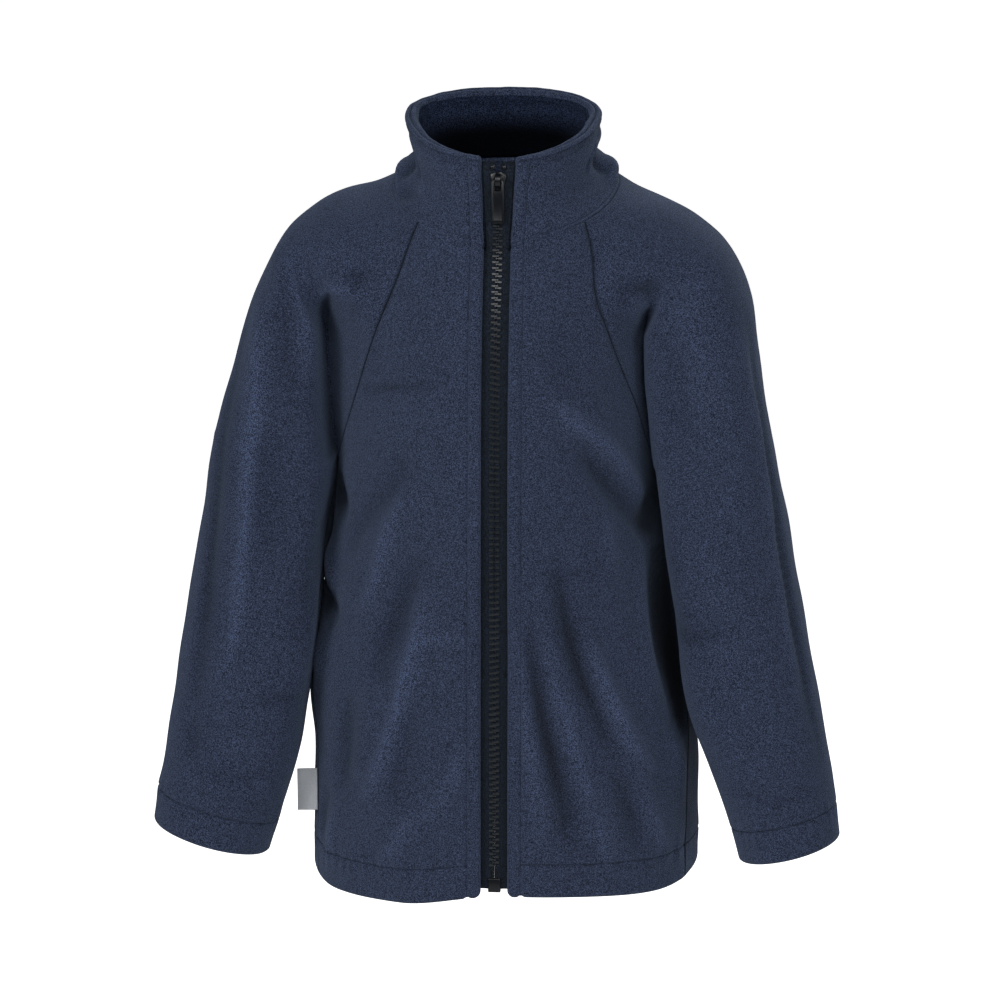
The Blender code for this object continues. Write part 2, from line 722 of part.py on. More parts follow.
def collar_ring(angle, sign, front_height, back_height, half_width, shift, front, back):
    ahead = np.cos(np.radians(angle))
    x = sign * half_width * np.sin(np.radians(angle)) + shift * (1 - ahead**2)
    y = np.where(ahead > 0, -front, back) * np.abs(ahead)
    height = back_height + (front_height - back_height) * (back - y) / (front + back)
    return np.stack([x, y, height], axis=-1)


def collar_grid():
    """Rows from the neck seam up, columns from the wearer's right front edge round the back to the left."""
    rows = []
    for k in range(len(COLLAR) + 1):
        halves = []
        for side in SIDE_SIGN:
            height = neck_height(0.0) if k == 0 else COLLAR[k - 1][0]
            width = read(TRUNK, TRUNK_COLUMNS, side, height, "height") if k == 0 else COLLAR[k - 1][2]
            first = math.degrees(math.asin(edge_distance(height) / width))
            if k == 0:
                first = float(angle_at(side, edge_distance(height), height))
            angle = first + (180 - first) * np.linspace(0, 1, COLLAR_POINTS // 2 + 1)
            if k == 0:
                halves.append(trunk(side, angle, neck_height(angle)))
            else:
                halves.append(collar_ring(angle, SIDE_SIGN[side], *COLLAR[k - 1]))
        rows.append(np.concatenate([halves[0], halves[1][-2::-1]]))
    return np.array(rows)


def collar(material):
    grid = collar_grid()
    grid = shrink(grid, ("top",))
    thickness = np.full(grid.shape[:2], COLLAR_WALL)
    thickness[0] = FLEECE
    inner = inner_face(grid, thickness, from_axis(grid), "top")
    rise = grid[-1] - grid[-2]
    rise = rise / np.linalg.norm(rise, axis=1, keepdims=True)
    across = inner[-1] - grid[-1]
    outer_top = grid[-1] + rise * COLLAR_ROLL * 0.8 + across * 0.18
    outer_crest = grid[-1] + rise * COLLAR_ROLL + across * 0.4
    inner_top = grid[-1] + rise * COLLAR_ROLL * 0.8 + across * 0.82
    inner_crest = grid[-1] + rise * COLLAR_ROLL + across * 0.6
    outer = np.concatenate([grid, outer_top[None], outer_crest[None]])
    inner = np.concatenate([inner, inner_top[None], inner_crest[None]])
    return wall("collar", outer, inner, material)


# ---------------------------------------------------------------- zip

def front_line(height):
    """How far in front of the neck's middle the cloth lies along the zip."""
    rows = [(row[0], row[3]) for row in TRUNK if row[0] <= NECK[0][1]]
    rows += [(row[0], row[4]) for row in COLLAR]
    return read(rows, ("height", "front"), "front", height, "height")


def zip_slope(height):
    """The zip's lean from upright, in radians: positive where it leans back."""
    return math.atan2(float(front_line(height - 2) - front_line(height + 2)), 4.0)


def behind_cloth(x, height, inset):
    """A point of the zip: x from its middle, `inset` behind the surface of the cloth beside it."""
    width = read(TRUNK, TRUNK_COLUMNS, "left", np.minimum(height, NECK[0][1]), "height")
    ahead = np.sqrt(1 - (x / width) ** 2)
    return np.stack([x, -front_line(height) * ahead + inset, height], axis=-1)


def strip(name, side, inner, outer, top, bottom, thickness, material, across=2):
    """A strip along the zip's middle plane. `inner` and `outer` give its two edges at each height."""
    stations = [height for height in ZIP_STATIONS if bottom < height < top]
    heights = np.sort(np.concatenate([np.linspace(top, bottom, ZIP_ROWS), stations]))[::-1]
    start, end = inner(heights)[:, None], outer(heights)[:, None]
    x = start + (end - start) * np.linspace(0, 1, across)
    height = np.repeat(heights[:, None], across, axis=1)
    face = behind_cloth(x, height, ZIP_MIDDLE - thickness / 2)
    rear = behind_cloth(x, height, ZIP_MIDDLE + thickness / 2)
    mirror = np.array([SIDE_SIGN[side], 1, 1])
    return wall(name, face * mirror, rear * mirror, material)


def tape_inner(height):
    """The tapes spread above the slider, and make way for the retaining box at the foot."""
    above = ease((height - SLIDER_HEIGHT + 2) / 7)
    beside_box = ease((BOX_TOP + 3 - height) / 3)
    return TEETH_OUTER + 0.3 + 1.7 * above + (BOX_SIZE[0] / 2 - TEETH_OUTER) * beside_box


def tape_outer(height):
    """Behind the fronts the tape reaches under the cloth. In the collar it stops at the cloth's edge."""
    in_collar = ease((height - NECK[0][1] + 4) / 3.5)
    return TAPE_EDGE + (edge_distance(height) - TAPE_SHORT - TAPE_EDGE) * in_collar


def tape(side, material):
    return strip(
        f"zip_tape_{side}", side, tape_inner, tape_outer, TAPE_TOP, TAPE_BOTTOM, TAPE_THICKNESS, material, 4
    )


def teeth(side, material):
    """One row of teeth as a plain strip. It ends inside the slider, under the post between the rows."""
    def inner(height):
        return np.full_like(height, TEETH_INNER)

    def outer(height):
        return np.full_like(height, TEETH_OUTER)

    top = SLIDER_HEIGHT + SLIDER_BRIDGE[1] - TEETH_BELOW_BRIDGE
    return strip(f"zip_teeth_{side}", side, inner, outer, top, TEETH_BOTTOM, TEETH_THICKNESS, material)


def block(name, size, centre, material=None):
    """A box in its own mesh's place."""
    mesh = bmesh.new()
    bmesh.ops.create_cube(mesh, size=1)
    for vertex in mesh.verts:
        vertex.co = [(vertex.co[k] * size[k] + centre[k]) * MM for k in range(3)]
    return finish(name, mesh, material or cutter_material())


def cutter_material():
    return bpy.data.materials.get("cutter") or finish_material("cutter", (0.5, 0.5, 0.5), 1.0)


def prism(name, outline, low, high, axes, material=None):
    """An outline in two axes, drawn out along the third from `low` to `high`."""
    mesh = bmesh.new()
    third = ({0, 1, 2} - set(axes)).pop()
    rings = []
    for level in (low, high):
        ring = []
        for first, second in outline:
            point = [0.0, 0.0, 0.0]
            point[axes[0]], point[axes[1]], point[third] = first * MM, second * MM, level * MM
            ring.append(mesh.verts.new(point))
        rings.append(ring)
    mesh.faces.new(rings[0])
    mesh.faces.new(rings[1][::-1])
    count = len(outline)
    for k in range(count):
        mesh.faces.new((rings[0][k], rings[1][k], rings[1][(k + 1) % count], rings[0][(k + 1) % count]))
    return finish(name, mesh, material or cutter_material())


def combine(target, other, operation):
    """Joins or cuts with a helper, which stays out of the model."""
    modifier = target.modifiers.new(other.name, "BOOLEAN")
    modifier.operation = operation
    modifier.solver = "MANIFOLD"
    modifier.object = other
    other.hide_render = True
    other.display_type = "WIRE"
    other.parent = target


def soften(target, width, segments=2):
    modifier = target.modifiers.new("rounded_edges", "BEVEL")
    modifier.width = width * MM
    modifier.segments = segments
    modifier.limit_method = "ANGLE"
    modifier.angle_limit = math.radians(40)


def zip_frame(name):
    """An empty at the slider's middle, leaning with the zip."""
    empty = bpy.data.objects.new(name, None)
    bpy.context.scene.collection.objects.link(empty)
    middle = behind_cloth(np.array(0.0), np.array(SLIDER_HEIGHT), ZIP_MIDDLE)
    empty.location = middle * MM
    empty.rotation_euler = (zip_slope(SLIDER_HEIGHT) * -1, 0, 0)
    return empty


def half_oval(half_length, height, foot, count=10):
    """Points of a bail's outline: (along, out), from its upper foot over to its lower foot."""
    turn = [math.pi * k / count for k in range(count + 1)]
    points = [(half_length * math.cos(t), -height * math.sin(t)) for t in turn]
    return [(points[0][0], foot)] + points + [(points[-1][0], foot)]


def slider(frame, material):
    face = -SLIDER_THICKNESS / 2
    body = prism("slider", SLIDER_OUTLINE, face, -face, (0, 2), material)
    soften(body, EDGE_ROUNDING)
    post_half, channel_top = SLIDER_BRIDGE
    width, thickness, tall = SLIDER_CHANNEL
    channel = block("slider_channel_cut", (width, thickness, tall), (0, 0, channel_top - tall / 2))
    combine(body, channel, "DIFFERENCE")
    slot_wide, slot_deep = SLIDER_SLOT
    for side, sign in SIDE_SIGN.items():
        size = (slot_wide, slot_deep, 2 * tall)
        slot = block(f"slider_slot_cut_{side}", size, (sign * (post_half + slot_wide / 2), 0, 0))
        combine(body, slot, "DIFFERENCE")
    outer = half_oval(*BAIL_OUTSIDE, BAIL_FOOT)
    inner = half_oval(*BAIL_INSIDE, BAIL_FOOT)
    hoop = [(z + BAIL_MIDDLE, y + face) for z, y in outer + inner[::-1]]
    bail = prism("slider_bail", hoop, -BAIL_HALF_WIDTH, BAIL_HALF_WIDTH, (2, 1))
    combine(body, bail, "UNION")
    body.parent = frame
    return body


def pull_tab(frame, material):
    """A long tab with a window at its top, whose crossbar is the hinge pin. Its origin is on the hinge."""
    half, thick, bottom = PULL_WIDTH / 2, PULL_THICKNESS / 2, -PULL_LENGTH
    shoulder, toe = PULL_CORNERS
    outline = [
        (-half + shoulder, PIN_RADIUS), (half - shoulder, PIN_RADIUS), (half, PIN_RADIUS - shoulder),
        (half, bottom + toe), (half - toe, bottom), (toe - half, bottom),
        (-half, bottom + toe), (-half, PIN_RADIUS - shoulder),
    ]
    tab = prism("pull_tab", outline, -thick, thick, (0, 2), material)
    window_half, window_bottom = PULL_WINDOW
    window_tall = -PIN_RADIUS - window_bottom
    recess_half, recess_top, recess_bottom, recess_depth = PULL_RECESS
    recess_tall = recess_top - recess_bottom
    clear = 2 * PULL_THICKNESS
    cutters = (
        ("pull_window_cut", (2 * window_half, clear, window_tall), (0, 0, window_bottom + window_tall / 2)),
        ("pull_pin_front_cut", (2 * window_half, clear, clear), (0, -PIN_RADIUS - clear / 2, 0)),
        ("pull_pin_rear_cut", (2 * window_half, clear, clear), (0, PIN_RADIUS + clear / 2, 0)),
        (
            "pull_recess_cut", (2 * recess_half, clear, recess_tall),
            (0, recess_depth - thick - clear / 2, recess_bottom + recess_tall / 2),
        ),
    )
    for name, size, centre in cutters:
        combine(tab, block(name, size, centre), "DIFFERENCE")
    tab.parent = frame
    hinge = (0, -SLIDER_THICKNESS / 2 - PIN_ABOVE_SLIDER, BAIL_MIDDLE - PIN_BELOW_BAIL_MIDDLE)
    tab.location = [length * MM for length in hinge]
    return tab


def top_stop(side, material):
    place = behind_cloth(np.array(STOP_OUT), np.array(STOP_HEIGHT), ZIP_MIDDLE)
    stop = block(f"top_stop_{side}", STOP_SIZE, (0, 0, 0), material)
    soften(stop, EDGE_ROUNDING)
    stop.location = place * np.array([SIDE_SIGN[side], 1, 1]) * MM
    stop.rotation_euler = (zip_slope(STOP_HEIGHT) * -1, 0, 0)
    return stop


def zip_foot(material):
    """The retaining box with the wearer's right tape's own pin, and the other tape's pin in its slot."""
    depth = float(behind_cloth(np.array(0.0), np.array(BOX_TOP), ZIP_MIDDLE)[1])
    box = block("zip_box", BOX_SIZE, (0, depth, BOX_TOP - BOX_SIZE[2] / 2), material)
    soften(box, EDGE_ROUNDING)
    slot_wide, slot_deep, slot_tall = BOX_SLOT
    slot_size = (slot_wide, slot_deep, 2 * slot_tall)
    combine(box, block("zip_box_slot_cut", slot_size, (PIN_OUT, depth, BOX_TOP)), "DIFFERENCE")
    sunk = PIN_TOP - BOX_TOP + FIXED_PIN_SINKS
    fixed_place = (-PIN_OUT - PIN_APART, depth, PIN_TOP - sunk / 2)
    combine(box, block("zip_box_pin", (*PIN_SIZE, sunk), fixed_place), "UNION")
    tall = PIN_TOP - PIN_BOTTOM
    pin = block("zip_pin", (*PIN_SIZE, tall), (PIN_OUT, depth, PIN_BOTTOM + tall / 2), material)
    return box, pin


# ---------------------------------------------------------------- label

def side_label(material):
    """A folded tag that stands out from the wearer's right side seam."""
    wide, tall = LABEL_SIZE
    out, droop = np.array(LABEL_OUT), np.array([0, -LABEL_DROOP, 0])
    heights = np.linspace(LABEL_TOP, LABEL_TOP - tall, 6)
    root = trunk("right", side_angle(heights), heights)
    outward = root * [1, 1, 0]
    outward /= np.linalg.norm(outward, axis=1, keepdims=True)
    start = root + outward * LABEL_CLEARANCE
    shares = np.linspace(0, 1, 4)
    grid = np.stack([start + out * wide * t + droop * t * (1 - t) for t in shares], axis=1)
    across = np.array([-out[1], -out[0], 0]) * -1
    back = grid + across * LABEL_THICKNESS
    return wall("side_label", grid, back, material)


# ---------------------------------------------------------------- scene

def clear_scene():
    for obj in list(bpy.data.objects):
        bpy.data.objects.remove(obj, do_unlink=True)


def build():
    clear_scene()
    navy = finish_material("navy_fleece", (0.030, 0.039, 0.068), 0.95)
    webbing = finish_material("black_tape", (0.008, 0.010, 0.013), 0.8)
    resin = finish_material("black_resin", (0.010, 0.012, 0.014), 0.4)
    grey = finish_material("grey_label", (0.20, 0.21, 0.22), 0.8)
    for side in SIDE_SIGN:
        front_panel(side, navy)
        sleeve(side, navy)
        tape(side, webbing)
        teeth(side, resin)
        top_stop(side, resin)
    back_panel(navy)
    collar(navy)
    frame = zip_frame("slider_frame")
    slider(frame, resin)
    pull_tab(frame, resin)
    zip_foot(resin)
    side_label(grey)


build()
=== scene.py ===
"""A child's fleece jacket with raglan sleeves, a stand collar and an open-end zip, filled out as if worn.

Lengths are in millimetres and angles in degrees, in the frame of the CAD parts: +Z up, the front faces -Y and
the wearer's left arm is on the +X side. MM turns a length into metres.

Every cloth piece is a fine grid on the form of the filled jacket. Folds, seams and stitched lines move its
points in or out, and a thickness makes it a closed shell with rounded edges.
"""

import math

import bmesh
import bpy
import numpy as np
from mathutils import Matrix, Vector


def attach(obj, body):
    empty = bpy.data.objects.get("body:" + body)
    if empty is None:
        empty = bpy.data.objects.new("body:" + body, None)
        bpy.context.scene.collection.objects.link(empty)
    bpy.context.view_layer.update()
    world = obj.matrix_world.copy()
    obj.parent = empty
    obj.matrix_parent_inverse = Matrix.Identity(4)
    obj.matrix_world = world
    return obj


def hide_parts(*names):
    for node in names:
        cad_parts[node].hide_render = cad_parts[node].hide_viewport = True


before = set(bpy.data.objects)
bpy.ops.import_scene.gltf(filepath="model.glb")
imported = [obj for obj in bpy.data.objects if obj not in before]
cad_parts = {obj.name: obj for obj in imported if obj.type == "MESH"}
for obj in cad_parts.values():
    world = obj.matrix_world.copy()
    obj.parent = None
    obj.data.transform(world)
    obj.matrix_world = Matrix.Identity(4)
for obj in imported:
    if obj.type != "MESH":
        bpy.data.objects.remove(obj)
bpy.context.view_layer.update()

MM = 0.001

# ---------------------------------------------------------------- sizes of the jacket's form

TRUNK_COLUMNS = ("height", "right", "left", "front", "back", "squareness")
TRUNK = (
    (-421, 116, 116, 99, 92, 2.45),
    (-340, 116, 116, 99, 92, 2.20),
    (-305, 119, 113, 99, 92, 2.05),
    (-250, 110, 103, 98, 92, 1.95),
    (-204, 104, 95, 98, 92, 1.95),
    (-168, 101, 90, 97, 91, 1.95),
    (-120, 100, 87, 95, 89, 1.95),
    (-70, 98, 86, 87, 82, 2.00),
    (-32, 85, 82, 75, 66, 2.00),
    (0, 67, 67, 66, 50, 2.00),
    (12, 62, 62, 63, 46, 2.00),
)
BACK_SQUARENESS = 2.2
UNDERARM_HEIGHT = -168.0
HEM_LEVEL = -417.0
HEM_COLUMNS = ("angle", "right", "left")
HEM = ((0, -415, -415), (25, -422, -416), (55, -422, -418), (90, -417, -415), (180, -417, -417))
SIDE_SEAM_COLUMNS = ("height", "angle")
SIDE_SEAM = ((-421, 70), (-340, 73), (-250, 80), (-168, 90))
NECK_COLUMNS = ("angle", "height")
NECK = ((0, -32), (38, -18), (90, 0), (142, 4), (180, 5))
RAGLAN_FRONT = {
    "right": ((38, -18), (41, -57), (54, -106), (70, -148), (82, -165), (90, -168)),
    "left": ((41, -17), (41, -50), (50, -88), (66, -129), (79, -160), (90, -168)),
}
RAGLAN_BACK = ((142, 4), (136, -50), (126, -104), (110, -150), (98, -165), (90, -168))
OVERARM = {     # out, forward, height
    "right": (
        (83, -3, -6), (99, -2, -9.5), (114, 1, -16.5), (130, 5, -30),
        (149, 11, -67), (162, 16, -112), (173, 20, -150),
    ),
    "left": (
        (79, -3, -6), (96, -2, -12), (114, 1, -22), (129.5, 5, -35),
        (146, 11, -68), (151, 15, -102), (159, 20, -150),
    ),
}
SLEEVE_COLUMNS = ("height", "inner", "outer", "forward", "half_depth")
SLEEVE = {
    "right": (
        (-204, 108, 180, 14, 52),
        (-250, 111, 188, 22, 46),
        (-300, 117, 195, 32, 42),
        (-336, 123, 200, 38, 38),
        (-370, 133, 206, 43, 35),
        (-394, 140, 210, 45, 34),
    ),
    "left": (
        (-204, 97, 168, 14, 52),
        (-250, 104, 176, 22, 46),
        (-300, 111, 186, 32, 42),
        (-336, 124, 194, 38, 38),
        (-376, 138, 201, 43, 34),
        (-395, 143, 203, 45, 33),
    ),
}
SLEEVE_TILT = {"right": 15.5, "left": 14.0}
ARMPIT_HALF_DEPTH = 53.0
ARCH_FULLNESS = 2.5
TUBE_SQUARENESS = (2.3, 6.5)    # of the outer half and of the half beside the trunk: an oval is 2, as at the cuff
BACK_ARCH_FULLNESS = 1.6
LEAN_FADES_OVER = 70.0
REST_FADES = (-282.0, -318.0)
REST_GAP = 0.6
REST_POWER = 1.1
REST_FROM = (-12.0, 6.0)    # the sleeve lies on the trunk behind here, and in front of it leaves a gap
FOLD_OPENS = {"right": 0.31, "left": 0.29}
FOLD_FULL = 0.44
FOLD_TOP = {"right": (-73, 87, 9.0), "left": (-70, 82, -3.5)}    # height, angle, and how far out of the trunk
COLLAR = (      # front_height, back_height, half_width, shift, front, back
    (-18, 19, 63.5, 0, 73, 46),
    (-6, 28, 54.5, -0.5, 71, 43),
    (10, 40, 56.5, -1.5, 69, 41),
    (19, 46.5, 57.7, -2.0, 68, 39),
)
COLLAR_ROLL = 3.5
FRONT_EDGE = 8.0
COLLAR_EDGE = 11.0
ZIP_MIDDLE = 5.3
SIDE_SIGN = {"right": -1.0, "left": 1.0}
DEGREE_OF_TRUNK = 1.7  # one degree round the trunk is about this long

FOLD_SHADE_REACH = (10.0, 4.5)      # painted shade reaches this far from the fold's bottom, on the arm and on the body
# how much painted shade darkens the colour in a fold, under an arm and beside a sleeve
FOLD_PAINTED_SHADE = 0.45
SEAM_PAINTED_SHADE = (1.1, 0.3)           # how far from a seam, and how much, painted shade darkens the colour
# the same painted shade along a line of stitches
STITCH_PAINTED_SHADE = (0.7, 0.15)
UNDER_ARM_SHADE_REACH = (26.0, 55.0)        # how much further the painted shade reaches below the underarm, coming over a length
UNDER_ARM_SHADE_DOWN_TO = (-300.0, 60.0)        # and down to here under the arm, fading over a length
FLANK_SHADE = {"right": (68, -345), "left": (60, -415)}       # painted shadow of a sleeve on the trunk's side: from this angle, down to this height
FLANK_FADES = (12, 50)                  # over these degrees and lengths
BACK_FLANK, BACK_FLANK_FADES = 88, (12, 45)     # the same on the back, whose angles are from its centre
SLEEVE_SHADE = (-140.0, 40.0)           # only below this height, and in full this much lower
NO_CUFF = 999.0                         # the height above the cuff of rows that are nowhere near it

# The trunk's largest folds, from one place on the form to another.
FOLDS = (       # side, angle, height, end angle, end height, half width, rise
    ("right", 31, -165, 60, -262, 13, 3.0),
    ("right", 30, -262, 47, -350, 13, 3.0),
    ("right", 18, -330, 36, -392, 13, 2.2),
    ("left", 16, -70, 58, -165, 12, 3.0),
    ("left", 8, -240, 17, -385, 12, 2.6),
    ("left", 22, -222, 48, -348, 12, 3.2),
    ("left", 36, -210, 60, -320, 12, 3.0),
    ("right", 150, -190, 128, -360, 16, 3.2),
    ("left", 152, -200, 132, -350, 16, 3.0),
    ("right", 172, -250, 166, -400, 16, 2.4),
    ("left", 166, -290, 158, -400, 15, 2.2),
)

# ---------------------------------------------------------------- cloth

FLEECE = 2.3
TURNED = 4.2
COLLAR_WALL = 5.0
COLLAR_TOP = 7.2        # across the two rolls of its top edge
EDGE_FLAT = 0.01        # a rounded edge keeps a narrow flat in its middle
HEM_STITCH = 20.5       # from the hem's edge up to its line of stitches
CUFF_STITCH = 20.0
FRONT_STITCH = 8.0
LOBE_RADIUS = 4.0
NECK_STITCH = 2.6
SEAM_ROLL = 1.1         # the cloth rolls in this far beside a seam
SWELL = 0.4             # how far the cloth swells between its creases
SWELL_SIZE = 45         # and how wide such a swell is
SEAM_MARGIN = 10        # creases fade out this far from a side or raglan seam
TOP_MARGIN = 12         # and this far from the neck seam
PUCKER_REACH = 8        # how far puckers go either side of a hem's line of stitches
HEM_PUCKERS, CUFF_PUCKERS = 0.5, 0.45       # how deep they are
FRONT_PUCKERS = (0.14, 3)                   # how deep they are, and how far they go, along the front edges
CREASE_DEPTH = 1.25     # of every crease, against its rise in the tables
STITCH_GROOVE = (0.6, 0.8)      # half width and depth
POINT_STEP = 1.75
NEAR_EDGE = (0.0, 0.1, 0.3, 0.6, 1.0, 1.5, 2.1, 3.0, 4.2)
NEAR_STITCH = (-2.4, -1.3, -0.7, -0.3, 0.0, 0.3, 0.7, 1.3, 2.4)
NEAR_FRONT = NEAR_EDGE + tuple(FRONT_STITCH + one for one in NEAR_STITCH)
NEAR_NECK = (0.0, 0.1, 0.3, 0.6, 1.0, 1.5, 2.0, 2.3, 2.6, 2.9, 3.3, 4.2)

# ---------------------------------------------------------------- zip and trim

SLIDER_HEIGHT = 7.5
TAPE_EDGE = 13.5
TAPE_SHORT = 1.25       # in the collar a tape stops this far short of the cloth's edge
TAPE_THICKNESS = 0.6
TAPE_CORD = (0.7, 0.45, 0.7)    # how far in, how wide and how much thicker the cord in its inner edge is
TAPE_TOP = 18.6
TAPE_BOTTOM = -411.0
TAPE_FOLDS_AT = 15.5
TAPE_GAP = 0.02         # from the middle of the zip to a tape's inner edge
BOX_TOP = -404.5
BOX_HALF_WIDTH = 3.7
TEETH_TOP = 6.4
TEETH_BOTTOM = -398.6
TEETH_PITCH = 3.5
TOOTH = (       # across the zip, half its height
    (-3.1, 0.55), (-2.9, 0.8), (-1.2, 0.85), (-0.45, 0.5), (0.2, 0.5), (0.55, 0.8), (0.9, 0.75), (1.1, 0.45),
)
TOOTH_HALF_DEPTH = 1.3
TOOTH_ROUNDING = 0.35
STITCH_PITCH = 2.8
STITCH = ((-1.15, 0.07, -0.2), (-0.7, 0.19, 0.04), (0.0, 0.21, 0.1), (0.7, 0.19, 0.04), (1.15, 0.07, -0.2))
LABEL_TOP = -355.0
LABEL_SIZE = (12.5, 25.0)
LABEL_THICKNESS = 0.9
LABEL_LAYER = 0.35
LABEL_DROOP = 2.0
LABEL_OUT = (-0.985, 0.17, 0.0)
LABEL_CLEARANCE = 0.5


# ---------------------------------------------------------------- curves

def hermite(xs, ys, at):
    """A cubic through the points whose slopes never overshoot them."""
    step = np.diff(xs)
    rise = np.diff(ys) / step
    slope = np.concatenate([[rise[0]], (rise[:-1] + rise[1:]) / 2, [rise[-1]]])
    flat = rise[:-1] * rise[1:] <= 0
    slope[1:-1][flat] = 0
    index = np.clip(np.searchsorted(xs, at, side="right") - 1, 0, len(step) - 1)
    t = np.clip((at - xs[index]) / step[index], 0, 1)
    start, end = ys[index], ys[index + 1]
    pull_in, pull_out = slope[index] * step[index], slope[index + 1] * step[index]
    return (
        start * (1 + 2 * t) * (1 - t) ** 2
        + end * t**2 * (3 - 2 * t)
        + pull_in * t * (1 - t) ** 2
        - pull_out * t**2 * (1 - t)
    )


def read(table, columns, name, at, key):
    """The value of a column where the key column has the value `at`, on a smooth curve through the rows."""
    rows = sorted(table, key=lambda row: row[columns.index(key)])
    xs = np.array([row[columns.index(key)] for row in rows], float)
    ys = np.array([row[columns.index(name)] for row in rows], float)
    return hermite(xs, ys, np.asarray(at, float))


def lengths_along(points):
    steps = np.linalg.norm(np.diff(points[:, :3], axis=0), axis=1)
    return np.concatenate([[0], np.cumsum(steps)])


def at_lengths(points, lengths):
    """Points of any dimension at these lengths along a polyline whose first three columns are places."""
    along = lengths_along(points)
    return np.stack([np.interp(lengths, along, points[:, k]) for k in range(points.shape[1])], axis=1)


def evenly(points, shares):
    return at_lengths(points, np.asarray(shares) * lengths_along(points)[-1])


def through(knots, count=200):
    """A smooth dense curve through a few knots of any dimension."""
    knots = np.asarray(knots, float)
    along = np.concatenate([[0], np.cumsum(np.linalg.norm(np.diff(knots, axis=0), axis=1))])
    at = np.linspace(0, along[-1], count)
    return np.stack([hermite(along, knots[:, k], at) for k in range(knots.shape[1])], axis=1)


def ease(t):
    t = np.clip(t, 0, 1)
    return t * t * (3 - 2 * t)


def stations(length, count, start=NEAR_EDGE, end=NEAR_EDGE):
    """Lengths along a row: close together near both edges and even between."""
    middle = np.linspace(start[-1], length - end[-1], count + 2)[1:-1]
    return np.concatenate([start, middle, length - np.array(end[::-1])])


def blurred(values, sigma):
    """A row smoothed over this many points. Its two ends stay where they are."""
    if sigma <= 0:
        return values
    reach = int(3 * sigma) + 1
    weights = np.exp(-0.5 * (np.arange(-reach, reach + 1) / sigma) ** 2)
    weights /= weights.sum()
    before = 2 * values[0] - values[reach:0:-1]
    after = 2 * values[-1] - values[-2:-reach - 2:-1]
    padded = np.concatenate([before, values, after])
    return np.stack([np.convolve(padded[:, k], weights, "valid") for k in range(values.shape[1])], axis=1)


# ---------------------------------------------------------------- the form

def fold_rise(side, angle, height):
    total = np.zeros_like(angle)
    for where, first, top, last, bottom, half_width, rise in FOLDS:
        if where != side:
            continue
        across, along = (last - first) * DEGREE_OF_TRUNK, bottom - top
        length = math.hypot(across, along)
        ahead, down = (angle - first) * DEGREE_OF_TRUNK, height - top
        share = (ahead * across + down * along) / length**2
        aside = (ahead * along - down * across) / length
        swell = np.sin(math.pi * np.clip(share, 0, 1)) ** 0.7
        total += rise * swell * np.exp(-((aside / half_width) ** 2))
    return total


def trunk_sizes(side, height):
    return [read(TRUNK, TRUNK_COLUMNS, name, height, "height") for name in (side, "front", "back", "squareness")]


def trunk(side, angle, height):
    """A point of the trunk's outside, at an angle from the zip round to the centre back."""
    angle, height = np.broadcast_arrays(np.asarray(angle, float), np.asarray(height, float))
    across, ahead = np.sin(np.radians(angle)), np.cos(np.radians(angle))
    width, front, back, squareness = trunk_sizes(side, height)
    power = 2 / np.where(ahead > 0, squareness, BACK_SQUARENESS)
    x = SIDE_SIGN[side] * width * np.abs(across) ** power
    y = np.where(ahead > 0, -front, back) * np.abs(ahead) ** power
    grow = 1 + fold_rise(side, angle, height) / np.hypot(x, y)
    return np.stack([x * grow, y * grow, height], axis=-1)


def flank(side, forward_y, height):
    """How far out the trunk's side is, this far in front of or behind its widest line."""
    width, front, back, squareness = trunk_sizes(side, height)
    squareness = np.where(forward_y < 0, squareness, BACK_SQUARENESS)
    share = np.clip(np.abs(forward_y) / np.where(forward_y < 0, front, back), 0, 1)
    return width * (1 - share**squareness) ** (1 / squareness)


def angle_at(side, distance, height):
    """The angle at which the trunk's front is this far from the middle of the zip."""
    width, _, _, squareness = trunk_sizes(side, height)
    return np.degrees(np.arcsin((distance / width) ** (squareness / 2)))


def neck_height(angle):
    return read(NECK, NECK_COLUMNS, "height", angle, "angle")


def edge_distance(height):
    """How far the cloth's edge is from the middle of the zip: it opens a little up the collar."""
    up_collar = np.clip((height - NECK[0][1]) / (COLLAR[-1][0] - NECK[0][1]), 0, 1)
    return FRONT_EDGE + (COLLAR_EDGE - FRONT_EDGE) * up_collar


def seam_line(table, side, shares):
    """Places on a raglan seam, from the neck to the underarm, as (angle, height) and as points."""
    flat = through(table)
    along = lengths_along(trunk(side, flat[:, 0], flat[:, 1]))
    at = np.asarray(shares) * along[-1]
    angle, height = np.interp(at, along, flat[:, 0]), np.interp(at, along, flat[:, 1])
    return angle, height, trunk(side, angle, height)


def seam_length(table, side):
    flat = through(table)
    return lengths_along(trunk(side, flat[:, 0], flat[:, 1]))[-1]


# ---------------------------------------------------------------- grids of cloth

